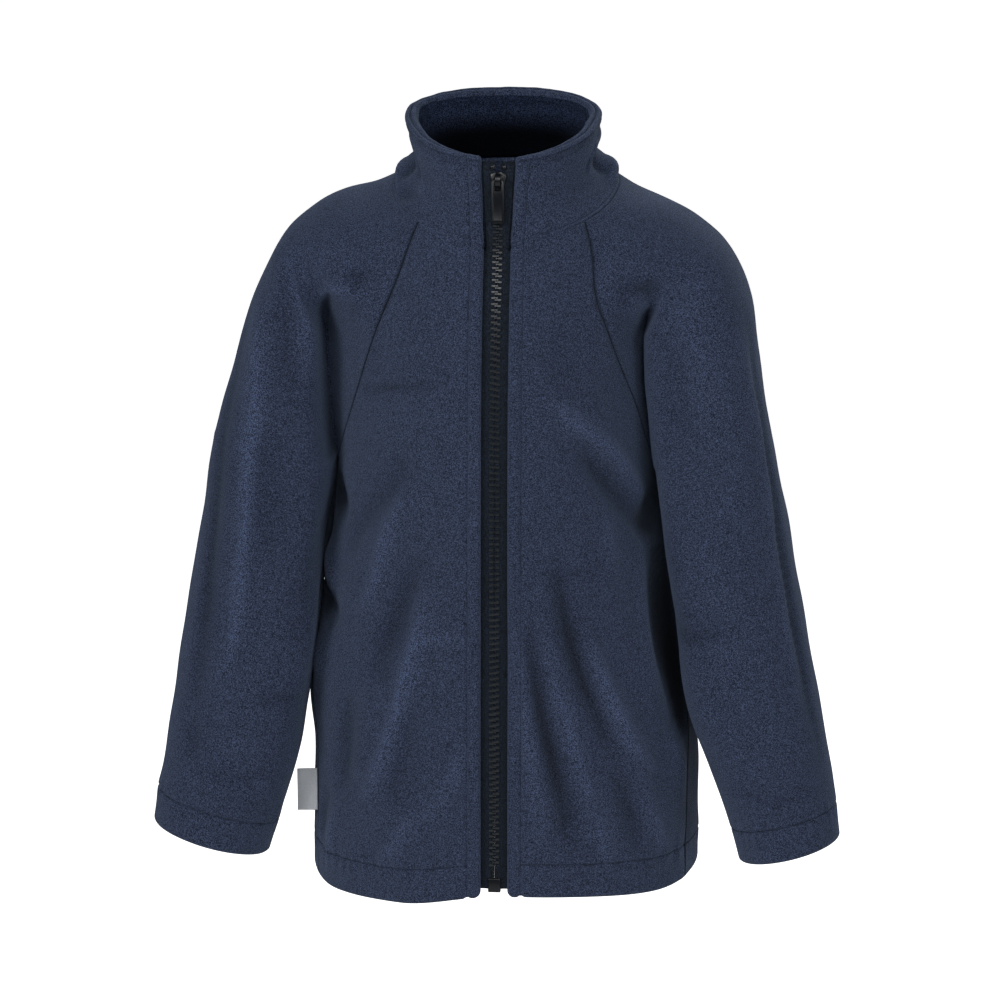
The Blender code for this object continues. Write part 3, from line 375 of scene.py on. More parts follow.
class Cloth:
    """A grid of cloth: its places, what each point's place is called on the form, and how far the edges are."""

    def __init__(self, grid, marks):
        self.grid, self.marks = grid, marks
        rows = np.linalg.norm(np.diff(grid, axis=0), axis=2)
        columns = np.linalg.norm(np.diff(grid, axis=1), axis=2)
        zero_row, zero_column = np.zeros((1, grid.shape[1])), np.zeros((grid.shape[0], 1))
        self.from_top = np.concatenate([zero_row, np.cumsum(rows, axis=0)])
        self.from_start = np.concatenate([zero_column, np.cumsum(columns, axis=1)], axis=1)
        self.to_bottom = self.from_top[-1:] - self.from_top
        self.to_end = self.from_start[:, -1:] - self.from_start
        self.rise = np.zeros(grid.shape[:2])
        self.seam_normal = self.at_seam = None
        self.lay = np.zeros(grid.shape[:2])     # painted light on ridges and painted shade in troughs, seams and folds: how much lighter or darker the colour is made

    def normals(self, outward):
        along = np.gradient(self.grid, axis=0, edge_order=2)
        across = np.gradient(self.grid, axis=1, edge_order=2)
        normal = np.cross(across, along)
        normal /= np.linalg.norm(normal, axis=2, keepdims=True) + 1e-12
        return normal * np.sign(np.sum(np.sign(np.sum(normal * outward, axis=2))))

    def square_distance(self, edge):
        """How far each point is from a slanting edge, measured at right angles to it."""
        along_row = {"start": self.from_start, "end": self.to_end}[edge]
        pick, inner = {"start": (0, 12), "end": (-1, -13)}[edge]
        line = np.gradient(self.grid[:, pick], axis=0)
        row = self.grid[:, inner] - self.grid[:, pick]
        line /= np.linalg.norm(line, axis=1, keepdims=True)
        row /= np.linalg.norm(row, axis=1, keepdims=True)
        sine = np.linalg.norm(np.cross(line, row), axis=1)
        return along_row * np.clip(sine, 0.4, 1)[:, None]


def round_off(distance, radius):
    """How far a rounded edge has fallen below the flat at this distance from the edge."""
    inside = np.clip(radius - distance, 0, radius)
    return radius - np.sqrt(np.maximum(radius**2 - inside**2, 0))


def corner_distance(distances, radius):
    """One distance from several edges, so that the corners between them are rounded too."""
    inside = np.sqrt(sum(np.clip(radius - one, 0, radius) ** 2 for one in distances))
    return np.clip(radius - inside, 0, radius)


def neck_roll(grid, distance):
    """Rolls the cloth in beside the neck seam, the same way for the collar and the pieces below it.

    Towards the zip the turned bands press the seam flat.
    """
    turn = np.arctan2(grid[..., 0], -grid[..., 1])
    flattened = ease((np.degrees(turn) - 14) / 26) + ease((-38 - np.degrees(turn)) / 24)
    distance = SEAM_ROLL - (SEAM_ROLL - np.minimum(distance, SEAM_ROLL)) * (0.2 + 0.8 * flattened)
    lean = np.radians(12 + 40 * np.sin(turn) ** 2)
    way = np.stack([np.sin(turn) * np.cos(lean), -np.cos(turn) * np.cos(lean), np.sin(lean)], axis=-1)
    return grid - way * round_off(distance, SEAM_ROLL)[..., None]


def groove(distance, place):
    """A line of stitches pulls the cloth in."""
    width, depth = STITCH_GROOVE
    return -depth * np.exp(-(np.abs((distance - place) / width) ** 1.5))


def dip_along_sewing(distance, place, width, amount, along=0.0):
    """A dip along a line of sewing. It comes and goes along a topstitched line. It gives grooves their depth and seams
    and stitched lines their painted shade.
    """
    uneven = 1 + 0.35 * np.sin(along * 0.31) + 0.3 * np.sin(along * 0.83 + 1)
    return -amount * np.exp(-(((distance - place) / width) ** 2)) * uneven


def rows_to_hem(length, stitch):
    """Distances up from a hem's edge, from the top row down: close together at its stitches and at its edge."""
    near = [stitch + one for one in reversed(NEAR_STITCH)]
    upper = np.linspace(length, near[0], int((length - near[0]) / POINT_STEP))
    lower = np.linspace(near[-1], NEAR_EDGE[-1], int((near[-1] - NEAR_EDGE[-1]) / POINT_STEP))
    return np.concatenate([upper[:-1], near, lower[1:], NEAR_EDGE[-2::-1]])


def puckers(distance, place, along, seed, depth=0.3, reach=5.0):
    """Small uneven waves beside a line of stitches."""
    rng = np.random.default_rng(seed)
    total = np.zeros(distance.shape)
    for _ in range(5):
        total += np.sin(along * 2 * math.pi / rng.uniform(6, 15) + rng.uniform(0, 2 * math.pi))
    return depth * total / math.sqrt(5) * np.exp(-(((distance - place) / reach) ** 2))


def wander(points, size, seed, waves=7):
    """A soft uneven swell between about -1 and 1 whose hollows are about this far apart."""
    rng = np.random.default_rng(seed)
    total = np.zeros(points.shape[:-1])
    for _ in range(waves):
        way = rng.normal(size=3)
        way /= np.linalg.norm(way)
        stretch = 2 * math.pi / (size * rng.uniform(0.7, 1.5))
        total += np.sin(points @ way * stretch + rng.uniform(0, 2 * math.pi))
    return total / math.sqrt(waves)


def crease(marks, path, widths, rise, scale):
    """A soft ridge along a path on the form, or a trough where the rise is negative.

    `marks` holds each point's two coordinates on the form and `scale` their length in millimetres. The two
    widths are those of its two flanks, and it fades at both ends.
    """
    line = through(np.asarray(path, float) * scale, 48)
    flat = marks[..., :2] * scale
    low, high = line.min(axis=0) - 3 * max(widths), line.max(axis=0) + 3 * max(widths)
    near = np.all((flat > low) & (flat < high), axis=-1)
    result = np.zeros(marks.shape[:2])
    if not near.any():
        return result
    spots = flat[near]
    offset = spots[:, None, :] - line[None, :, :]
    distance = np.hypot(offset[..., 0], offset[..., 1])
    nearest = distance.argmin(axis=1)
    pick = np.arange(len(spots))
    way = np.gradient(line, axis=0)[nearest]
    away = offset[pick, nearest]
    turned = way[:, 0] * away[:, 1] - way[:, 1] * away[:, 0]
    width = np.where(turned > 0, widths[0], widths[1])
    swell = np.sin(math.pi * np.clip((nearest + 0.5) / len(line), 0, 1)) ** 0.6
    result[near] = rise * swell * np.exp(-((distance[pick, nearest] / width) ** 2))
    return result


def shell(name, cloth, thickness, rounding, outward, material):
    """A closed piece of cloth. `rounding` is how far each point is from a turned edge, or None."""
    normal = cloth.normals(outward)
    if cloth.seam_normal is not None:
        normal = normal + (cloth.seam_normal - normal) * cloth.at_seam[..., None]
        normal /= np.linalg.norm(normal, axis=-1, keepdims=True)
    outer = cloth.grid + normal * cloth.rise[..., None]
    radius = thickness / 2
    fall = 0 if rounding is None else round_off(rounding + EDGE_FLAT, radius)
    smooth = np.stack([blurred(row, 3) for row in outer])
    inner = smooth - normal * (thickness - fall)[..., None]
    outer = outer - normal * np.broadcast_to(fall, cloth.rise.shape)[..., None]
    return mesh_from_grids(name, outer, inner, cloth, material), outer, normal


def mesh_from_grids(name, outer, inner, cloth, material):
    rows, columns = outer.shape[:2]
    count = rows * columns
    index = np.arange(count).reshape(rows, columns)
    quads = np.stack([index[:-1, :-1], index[:-1, 1:], index[1:, 1:], index[1:, :-1]], axis=-1).reshape(-1, 4)
    rim = np.concatenate([index[0, :-1], index[:-1, -1], index[-1, :0:-1], index[:0:-1, 0]])
    after = np.roll(rim, -1)
    sides = np.stack([rim, rim + count, after + count, after], axis=-1)
    faces = np.concatenate([quads, quads[:, ::-1] + count, sides])
    places = np.concatenate([outer.reshape(-1, 3), inner.reshape(-1, 3)])
    flat = np.stack([cloth.from_start, -cloth.from_top], axis=-1).reshape(-1, 2)
    piece = mesh_object(name, places, faces, material, np.concatenate([flat, flat]) * MM)
    # the painted light and shade goes on the outer side only
    lay = piece.data.attributes.new("lay", "FLOAT", "POINT")
    lay.data.foreach_set("value", np.concatenate([cloth.lay.ravel(), np.zeros(count)]).astype(np.float32))
    return piece


def give_inside(piece, rows, columns, skip, material):
    """Gives a grid piece's inner side another material, but for its first rows."""
    piece.data.materials.append(material)
    count = (rows - 1) * (columns - 1)
    picked = np.zeros(len(piece.data.polygons), dtype=np.int32)
    picked[count + skip * (columns - 1):2 * count] = 1
    piece.data.polygons.foreach_set("material_index", picked)


def placed(name, data):
    """A new object in the scene."""
    obj = bpy.data.objects.new(name, data)
    bpy.context.scene.collection.objects.link(obj)
    return obj


def mesh_object(name, places, faces, material, flat=None):
    """A mesh from places in millimetres and four-sided faces, turned to face outwards."""
    mesh = bpy.data.meshes.new(name)
    mesh.vertices.add(len(places))
    mesh.vertices.foreach_set("co", (np.asarray(places) * MM).astype(np.float32).ravel())
    mesh.loops.add(faces.size)
    mesh.polygons.add(len(faces))
    a, b, c, d = (np.asarray(places)[faces[:, k]] for k in range(4))
    volume = np.sum(np.cross(c - a, d - b) * (a + b + c + d))
    if volume < 0:
        faces = faces[:, ::-1]
    mesh.loops.foreach_set("vertex_index", faces.astype(np.int32).ravel())
    mesh.polygons.foreach_set("loop_start", np.arange(0, faces.size, 4, dtype=np.int32))
    mesh.update(calc_edges=True)
    if flat is not None:
        layer = mesh.uv_layers.new(name="flat")
        layer.data.foreach_set("uv", flat[faces.ravel()].astype(np.float32).ravel())
    mesh.materials.append(material)
    mesh.shade_smooth()
    return placed(name, mesh)


SEWING = []     # lines of stitches: places and the way out of the cloth at each


def sew(outer, normal, distance, value, by_row, skip=(0, 0)):
    """Notes a line of stitches on a finished grid, where a distance has this value."""
    if not by_row:
        outer, normal, distance = (one.swapaxes(0, 1) for one in (outer, normal, distance))
    both = np.concatenate([outer, normal], axis=2)
    points = []
    for places, lengths in list(zip(both, distance))[skip[0]:len(both) - skip[1]]:
        order = np.argsort(lengths)
        if lengths.min() <= value <= lengths.max():
            points.append([np.interp(value, lengths[order], places[order, k]) for k in range(6)])
    points = np.array(points)
    SEWING.append((points[:, :3], points[:, 3:]))


# ---------------------------------------------------------------- finishes

# painted shade inside the collar: the plane of its rim, and how far below it the shade begins and is full
RIM_SLOPE = 0.25        # the collar's rim rises this much towards the back
RIM_LEVEL = 38.0        # its height over the middle of the neck
RIM_LIT, RIM_DARK = 1.0, 27.0
PAINTED_SHADING_STRENGTH = 1.9       # how much lighter the colour is painted on a ridge, and darker in a trough: painted light and shade


def shader_group(name, inputs, outputs):
    """An empty shader node group. Inputs are (name, kind, value) and outputs (name, kind)."""
    tree = bpy.data.node_groups.new(name, "ShaderNodeTree")
    for title, kind, value in inputs:
        socket = tree.interface.new_socket(title, in_out="INPUT", socket_type=f"NodeSocket{kind}")
        socket.default_value = value
    for title, kind in outputs:
        tree.interface.new_socket(title, in_out="OUTPUT", socket_type=f"NodeSocket{kind}")
    return tree, tree.nodes.new("NodeGroupInput"), tree.nodes.new("NodeGroupOutput")


def feed(tree, value, socket):
    """Sets a socket to a number, or links it to where its value comes from."""
    if isinstance(value, (int, float)):
        socket.default_value = value
    else:
        tree.links.new(value, socket)


def math_node(tree, operation, first, second=None, clamp=False):
    node = tree.nodes.new("ShaderNodeMath")
    node.operation = operation
    node.use_clamp = clamp
    for socket, value in zip(node.inputs, (first, second)):
        if value is not None:
            feed(tree, value, socket)
    return node.outputs[0]


def noise(tree, place, scale, detail, roughness=0.5, distortion=0.0):
    node = tree.nodes.new("ShaderNodeTexNoise")
    tree.links.new(place, node.inputs["Vector"])
    for title, value in (("Scale", scale), ("Detail", detail), ("Roughness", roughness), ("Distortion", distortion)):
        feed(tree, value, node.inputs[title])
    return node.outputs["Fac"]


def shades(tree, colour, factor):
    """The colour made lighter or darker by a factor."""
    node = tree.nodes.new("ShaderNodeVectorMath")
    node.operation = "SCALE"
    tree.links.new(colour, node.inputs[0])
    tree.links.new(factor, node.inputs["Scale"])
    return node.outputs[0]


def nap_group():
    """Brushed fleece: short tufts, finer fibres on them and wide patches where the nap lies another way."""
    tree, given, result = shader_group(
        "brushed_nap",
        (
            ("Colour", "Color", (0.5, 0.5, 0.5, 1)), ("Tufts per metre", "Float", 700.0),
            ("Tuft contrast", "Float", 0.5), ("Patch contrast", "Float", 0.1),
        ),
        (("Colour", "Color"), ("Height", "Float")),
    )
    place = tree.nodes.new("ShaderNodeTexCoord").outputs["Object"]
    tufts = noise(tree, place, given.outputs["Tufts per metre"], 2.0, 0.6)
    finer = math_node(tree, "MULTIPLY", given.outputs["Tufts per metre"], 1.7)
    fibres = noise(tree, place, finer, 2.0, 0.6)
    patches = noise(tree, place, 32.0, 3.0, 0.6)
    both = math_node(tree, "ADD", math_node(tree, "MULTIPLY", tufts, 0.5), math_node(tree, "MULTIPLY", fibres, 0.5))
    sharp = math_node(tree, "MULTIPLY", math_node(tree, "SUBTRACT", both, 0.5), 4.0)
    lift = math_node(tree, "MULTIPLY", sharp, given.outputs["Tuft contrast"])
    drift = math_node(tree, "MULTIPLY", math_node(tree, "SUBTRACT", patches, 0.5), 2.0)
    drift = math_node(tree, "MULTIPLY", drift, given.outputs["Patch contrast"])
    factor = math_node(tree, "MAXIMUM", math_node(tree, "ADD", math_node(tree, "ADD", lift, drift), 1.0), 0.15)
    tree.links.new(shades(tree, given.outputs["Colour"], factor), result.inputs["Colour"])
    tree.links.new(both, result.inputs["Height"])
    return tree


def principled(name, roughness, **constants):
    material = bpy.data.materials.new(name)
    material.use_nodes = True
    shader = material.node_tree.nodes["Principled BSDF"]
    shader.inputs["Roughness"].default_value = roughness
    for title, value in constants.items():
        shader.inputs[title.replace("_", " ")].default_value = value
    return material, material.node_tree, shader


def place_group(tree, group, **values):
    node = tree.nodes.new("ShaderNodeGroup")
    node.node_tree = group
    for title, value in values.items():
        node.inputs[title.replace("_", " ")].default_value = value
    return node


def bump(tree, height, strength, depth, shader):
    node = tree.nodes.new("ShaderNodeBump")
    node.inputs["Strength"].default_value = strength
    node.inputs["Distance"].default_value = depth * MM
    tree.links.new(height, node.inputs["Height"])
    tree.links.new(node.outputs["Normal"], shader.inputs["Normal"])


def fleece(group, name="navy_fleece", colour=(0.0258, 0.0352, 0.0665, 1)):
    material, tree, shader = principled(
        name, 0.95, Sheen_Weight=0.22, Sheen_Roughness=0.5, Sheen_Tint=(0.45, 0.6, 0.9, 1),
        Specular_IOR_Level=0.15,
    )
    nap = place_group(tree, group, Colour=colour, Tufts_per_metre=1450.0, Tuft_contrast=3.3, Patch_contrast=0.12)
    # painted light and shade: the colour is made lighter on ridges and darker in troughs, seams and folds
    lay = tree.nodes.new("ShaderNodeAttribute")
    lay.attribute_name = "lay"
    painted_shading_factor = math_node(tree, "ADD", math_node(tree, "MULTIPLY", lay.outputs["Fac"], PAINTED_SHADING_STRENGTH), 1.0)
    tree.links.new(shades(tree, nap.outputs["Colour"], painted_shading_factor), shader.inputs["Base Color"])
    bump(tree, nap.outputs["Height"], 0.9, 0.9, shader)
    return material


def shaded_inside(material):
    """Painted shade: the inside of the collar is made darker with the depth below its rim."""
    tree = material.node_tree
    shader = tree.nodes["Principled BSDF"]
    colour = shader.inputs["Base Color"].links[0].from_socket
    place = tree.nodes.new("ShaderNodeSeparateXYZ")
    tree.links.new(tree.nodes.new("ShaderNodeTexCoord").outputs["Object"], place.inputs[0])
    rim = math_node(tree, "MULTIPLY_ADD", place.outputs["Y"], RIM_SLOPE)
    rim.node.inputs[2].default_value = RIM_LEVEL * MM
    depth = tree.nodes.new("ShaderNodeMapRange")
    depth.interpolation_type = "SMOOTHSTEP"
    tree.links.new(math_node(tree, "SUBTRACT", rim, place.outputs["Z"]), depth.inputs["Value"])
    for title, value in (("From Min", RIM_LIT * MM), ("From Max", RIM_DARK * MM), ("To Min", 0.85), ("To Max", 0.03)):
        depth.inputs[title].default_value = value
    tree.links.new(shades(tree, colour, depth.outputs["Result"]), shader.inputs["Base Color"])
    shader.inputs["Sheen Weight"].default_value = 0.03
    shader.inputs["Specular IOR Level"].default_value = 0.03
    return material


def plain(name, colour, roughness, grain, depth, contrast=0.3, **constants):
    """A moulded or woven finish with a fine grain."""
    material, tree, shader = principled(name, roughness, **constants)
    nap = place_group(
        tree, NAP, Colour=(*colour, 1), Tufts_per_metre=grain, Tuft_contrast=contrast, Patch_contrast=0.2,
    )
    tree.links.new(nap.outputs["Colour"], shader.inputs["Base Color"])
    bump(tree, nap.outputs["Height"], 0.5, depth, shader)
    return material


NAP = nap_group()
NAVY = fleece(NAP)
# the collar's inside, with painted shade that deepens below its rim
NAVY_INSIDE_PAINTED_SHADE = shaded_inside(fleece(NAP, "navy_fleece_inside", (0.023, 0.034, 0.069, 1)))
THREAD = plain("navy_thread", (0.012, 0.017, 0.034), 0.7, 3000.0, 0.05, Specular_IOR_Level=0.2)
TAPE = plain("black_tape", (0.0075, 0.0115, 0.019), 0.85, 1300.0, 0.3, 2.6, Specular_IOR_Level=0.15)
RESIN = plain("black_resin", (0.003, 0.0045, 0.007), 0.3, 900.0, 0.01, Specular_IOR_Level=0.35)
TEETH = plain("black_resin_teeth", (0.008, 0.011, 0.015), 0.34, 900.0, 0.01, Specular_IOR_Level=0.6)
LABEL = plain("grey_label", (0.46, 0.48, 0.51), 0.8, 2500.0, 0.08)


# ---------------------------------------------------------------- trunk panels

DENSE = 90
FRONT_MARGIN = 12       # creases fade out this far from the front edge
FRONT_COLUMNS, BACK_COLUMNS, SLEEVE_GRID_COLUMNS = 54, 132, 142     # between the close ones at a grid's edges
FRONT_CREASES = {       # path of (angle, height), half widths, rise
    "right": (
        (((56, -121), (36, -113), (19, -109)), (3.5, 4), -1.0),
        (((33, -150), (37, -172), (49, -193), (57, -218)), (9, 8), -2.2),
        (((31, -170), (38, -196), (43, -230), (48, -253)), (4.5, 6), 2.0),
        (((26, -208), (31, -239), (35, -264), (37, -290)), (9, 9), -3.0),
        (((24, -230), (26, -268), (28, -299), (32, -327), (41, -366)), (4.5, 6), 2.8),
        (((25, -263), (17, -261), (9, -261)), (2.8, 3.5), 0.6),
        (((25, -292), (26, -334), (28, -366)), (8, 8), -1.8),
        (((6, -320), (11, -347), (18, -371)), (4, 5), 1.3),
        (((21, -364), (26, -383), (34, -405)), (4, 5), 1.4),
        (((46, -300), (49, -332), (53, -362)), (9, 9), -3.0),
        (((84, -178), (74, -190), (62, -196)), (11, 10), -4.2),
        (((66, -246), (76, -228), (84, -222)), (10, 10), 4.0),
        (((84, -250), (72, -255), (60, -258)), (9, 9), -3.8),
        (((64, -292), (74, -282), (82, -278)), (10, 12), 3.5),
        (((60, -362), (66, -380), (70, -404)), (6, 6), -2.4),
        (((54, -372), (58, -388), (60, -408)), (4, 5), 1.6),
    ),
    "left": (
        (((21, -68), (28, -103), (38, -128)), (12, 10), -1.6),
        (((24, -118), (38, -138), (54, -161), (66, -186)), (5.5, 8), 4.0),
        (((34, -140), (41, -161), (51, -181), (63, -200)), (10, 7), -3.6),
        (((44, -188), (45, -207), (43, -226)), (6, 7), 1.6),
        (((42, -216), (30, -221), (14, -219)), (4, 4), -0.5),
        (((11, -248), (13, -288), (15, -325), (18, -365), (20, -388)), (5.5, 5), -3.2),
        (((17, -256), (20, -295), (23, -329), (29, -371)), (5, 6), 2.2),
        (((22, -218), (25, -257), (29, -290), (36, -333)), (6, 5.5), -3.6),
        (((31, -258), (35, -291), (41, -320), (50, -347)), (5.5, 8), 3.6),
        (((8, -232), (9, -282), (10, -331), (12, -382)), (4, 5), 1.6),
        (((34, -338), (40, -365), (44, -393)), (6, 6), -2.0),
        (((45, -349), (51, -374), (56, -396)), (5, 6), 1.9),
        (((28, -366), (31, -382), (32, -400)), (5, 5), 1.6),
        (((80, -186), (68, -196), (58, -206)), (9, 9), -4.5),
        (((59, -218), (56, -255), (55, -299)), (7, 8), 2.0),
        (((72, -215), (68, -262), (70, -330)), (13, 13), -7.0),
        (((60, -322), (66, -345), (72, -372)), (9, 9), 2.6),
    ),
}
BACK_CREASES = (        # angles are from the centre back, with the wearer's left positive
    (((-62, -112), (-34, -122), (-8, -118)), (6, 7), -2.0),
    (((64, -116), (38, -128), (12, -124)), (6, 7), -2.2),
    (((-84, -176), (-62, -220), (-46, -300)), (7, 9), -4.0),
    (((-74, -180), (-50, -236), (-33, -330)), (6, 8), 3.0),
    (((-58, -176), (-38, -232), (-22, -320)), (8, 7), -2.6),
    (((86, -176), (64, -226), (50, -310)), (7, 9), -4.0),
    (((74, -186), (50, -246), (34, -350)), (6, 8), 3.2),
    (((60, -182), (36, -240), (20, -330)), (8, 7), -2.6),
    (((-20, -250), (-14, -320), (-17, -398)), (7, 7), -2.6),
    (((-10, -240), (-4, -310), (-3, -398)), (6, 7), 2.0),
    (((12, -262), (8, -340), (12, -402)), (7, 7), -2.4),
    (((-26, -40), (0, -50), (26, -40)), (6, 7), -1.6),
    (((-96, -300), (-84, -340), (-78, -396)), (7, 7), -3.0),
    (((-80, -290), (-70, -340), (-60, -396)), (6, 7), 2.4),
    (((96, -300), (84, -345), (80, -400)), (7, 7), -3.0),
    (((84, -300), (70, -345), (64, -400)), (6, 7), 2.4),
)


def side_angle(height):
    return read(SIDE_SEAM, SIDE_SEAM_COLUMNS, "angle", height, "height")


def hem_height(side, angle):
    return read(HEM, HEM_COLUMNS, side, angle, "angle")


def panel_rows(side, table, start_angle, edge=None):
    """A front or half a back from the neck down: dense rows of (x, y, z, angle, height, above_hem).

    A row runs from the centre out. Down to the underarm the rows end on the raglan seam, and below it at the side
    seam. The last column is how far each point is above the hem's edge.
    """
    def first_at(height):
        return edge(height) if edge else start_angle

    share = np.linspace(0, 1, DENSE)
    rows = []
    length = seam_length(table, side)
    downs = np.concatenate([NEAR_EDGE, np.linspace(NEAR_EDGE[-1], length, int(length / POINT_STEP))[1:-1]]) / length
    top = neck_height(first_at(neck_height(start_angle)))
    for down, seam_angle, seam_height in zip(downs, *seam_line(table, side, downs)[:2]):
        up = 1 - down
        centre = UNDERARM_HEIGHT + (top - UNDERARM_HEIGHT) * up
        first = first_at(centre)
        angle = first + (seam_angle - first) * share
        height = centre + (seam_height - centre) * share
        chord = neck_height(first) + (neck_height(seam_angle) - neck_height(first)) * share
        above_hem = np.full(DENSE, UNDERARM_HEIGHT - HEM_LEVEL + down)
        rows.append((angle, height + up**3 * (neck_height(angle) - chord), above_hem))
    rise = UNDERARM_HEIGHT - HEM_LEVEL
    for step in rows_to_hem(rise, HEM_STITCH):
        level = HEM_LEVEL + step
        angle = first_at(level) + (side_angle(level) - first_at(level)) * share
        height = level + (hem_height(side, angle) - HEM_LEVEL) * (1 - step / rise)
        rows.append((angle, height, np.full(DENSE, step)))
    return [np.column_stack([trunk(side, row[0], row[1]), *row]) for row in rows]


def gridded(rows, columns, start=NEAR_EDGE, end=NEAR_EDGE):
    grid = np.array([at_lengths(row, stations(lengths_along(row)[-1], columns, start, end)) for row in rows])
    return grid[..., :3], grid[..., 3:]


def from_axis(grid):
    return grid * [1, 1, 0]


def apply_creases(cloth, creases, scale, margin):
    """Adds the creases, faded out where the margin falls to nothing. `margin` is 1 away from the edges."""
    for path, widths, rise in creases:
        swell = CREASE_DEPTH * crease(cloth.marks, path, widths, rise, scale) * margin
        cloth.rise += swell
        # painted highlight along each ridge and painted shade along each trough
        cloth.lay += swell / (widths[0] + widths[1])


def crumple(cloth, creases, degree, margin, seed, size=SWELL_SIZE):
    """Adds a table's creases and a soft swell between them."""
    apply_creases(cloth, creases, (degree, 1), margin)
    cloth.rise += SWELL * wander(cloth.grid, size, seed) * margin


def between_seams(cloth):
    """The distances from the seams at both sides, and a margin that keeps creases off the seams."""
    seams = [cloth.square_distance("start"), cloth.square_distance("end")]
    margin = ease(seams[0] / SEAM_MARGIN) * ease(seams[1] / SEAM_MARGIN) * ease(cloth.from_top / TOP_MARGIN)
    return seams, margin


def finish_edges(cloth, seams, edge, stitch, seed, pucker):
    """Seams at both sides and a turned, stitched edge. Gives the thickness and how far a turned edge is."""
    cloth.rise += puckers(edge, stitch, cloth.from_start, seed, pucker, PUCKER_REACH) + groove(edge, stitch)
    cloth.rise -= round_off(corner_distance(seams, SEAM_ROLL), SEAM_ROLL)
    # painted shade along the seams and the edge's stitches
    cloth.lay += dip_along_sewing(np.minimum(*seams), 0, *SEAM_PAINTED_SHADE) + dip_along_sewing(edge, stitch, *STITCH_PAINTED_SHADE, cloth.from_start)
    cloth.grid = neck_roll(cloth.grid, cloth.from_top)
    thickness = FLEECE + (TURNED - FLEECE) * (1 - ease((edge - stitch) / 2))
    return thickness, corner_distance((edge,), TURNED / 2)


def sleeve_shadow(side, angle, height):
    """From 0 to 1 where the sleeve lies against the trunk's side: how much of the sleeve's painted shadow falls there.
    """
    start, end = FLANK_SHADE[side]
    shade = ease((angle - start) / FLANK_FADES[0]) * ease((SLEEVE_SHADE[0] - height) / SLEEVE_SHADE[1])
    return shade * ease((height - end) / FLANK_FADES[1])


def front_panel(side):
    def edge(height):
        return angle_at(side, edge_distance(height), height)

    cloth = Cloth(*gridded(panel_rows(side, RAGLAN_FRONT[side], 0.0, edge), FRONT_COLUMNS, NEAR_FRONT))
    seed = 11 if side == "right" else 12
    hem = cloth.marks[..., 2]
    seam_out = cloth.square_distance("end")
    margin = ease(seam_out / SEAM_MARGIN) * ease(cloth.from_top / TOP_MARGIN)
    margin = margin * ease((cloth.from_start - 1) / FRONT_MARGIN)
    crumple(cloth, FRONT_CREASES[side], DEGREE_OF_TRUNK, margin, seed)
    # the sleeve's painted shadow on the front's side
    cloth.lay -= FOLD_PAINTED_SHADE * sleeve_shadow(side, cloth.marks[..., 0], cloth.marks[..., 1])
    past_front = ease((cloth.from_start - FRONT_STITCH) / 1.5)
    cloth.rise += puckers(hem, HEM_STITCH, cloth.from_start, seed + 1, HEM_PUCKERS, PUCKER_REACH) * past_front
    beside_zip = puckers(cloth.from_start, FRONT_STITCH, cloth.from_top, seed, *FRONT_PUCKERS)
    cloth.rise += beside_zip * ease(cloth.from_top / TOP_MARGIN)
    cloth.rise += band_puff(cloth.from_start)
    cloth.rise += groove(cloth.from_start, FRONT_STITCH) + groove(hem, HEM_STITCH) * past_front
    cloth.rise -= round_off(seam_out, SEAM_ROLL)
    # painted shade along the hem's stitches and beside the side seam
    painted_shade = dip_along_sewing(hem, HEM_STITCH, *STITCH_PAINTED_SHADE, cloth.from_start) * past_front
    cloth.lay += dip_along_sewing(seam_out, 0, *SEAM_PAINTED_SHADE) + painted_shade
    # a painted highlight in a thin line beside the side seam, near the hem
    cloth.lay += 0.45 * np.exp(-(((seam_out - 1.6) / 0.8) ** 2)) * ease((45 - hem) / 20)
    cloth.grid = neck_roll(cloth.grid, cloth.from_top)
    cloth.grid[..., 2] += lobe(cloth.from_start) * ease(1 - hem / 12)
    turned = np.minimum(cloth.from_start / FRONT_STITCH, 1) * np.minimum(hem / HEM_STITCH, 1)
    thickness = FLEECE + (TURNED - FLEECE) * (1 - ease((turned - 0.9) / 0.1))
    rounding = corner_distance((cloth.from_start, hem), TURNED / 2)
    piece, outer, normal = shell(f"front_{side}", cloth, thickness, rounding, from_axis(cloth.grid), NAVY)
    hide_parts(f"front_{side}")
    sew(outer, normal, cloth.from_start, FRONT_STITCH, True, (4, 12))
    sew(outer, normal, hem, HEM_STITCH, False, (14, 2))
    return piece


def band_puff(distance):
    """The turned front edge stands up a little between its stitches and its edge."""
    share = np.clip(distance / FRONT_STITCH, 0, 1)
    return 0.5 * np.sin(math.pi * share) ** 0.8


def lobe(distance):
    """The turned front edge ends in a small round lobe, with a notch where its stitches meet the hem."""
    notch = 1.2 * np.exp(-(((distance - FRONT_STITCH) / 1.5) ** 2))
    return round_off(distance, LOBE_RADIUS) + notch


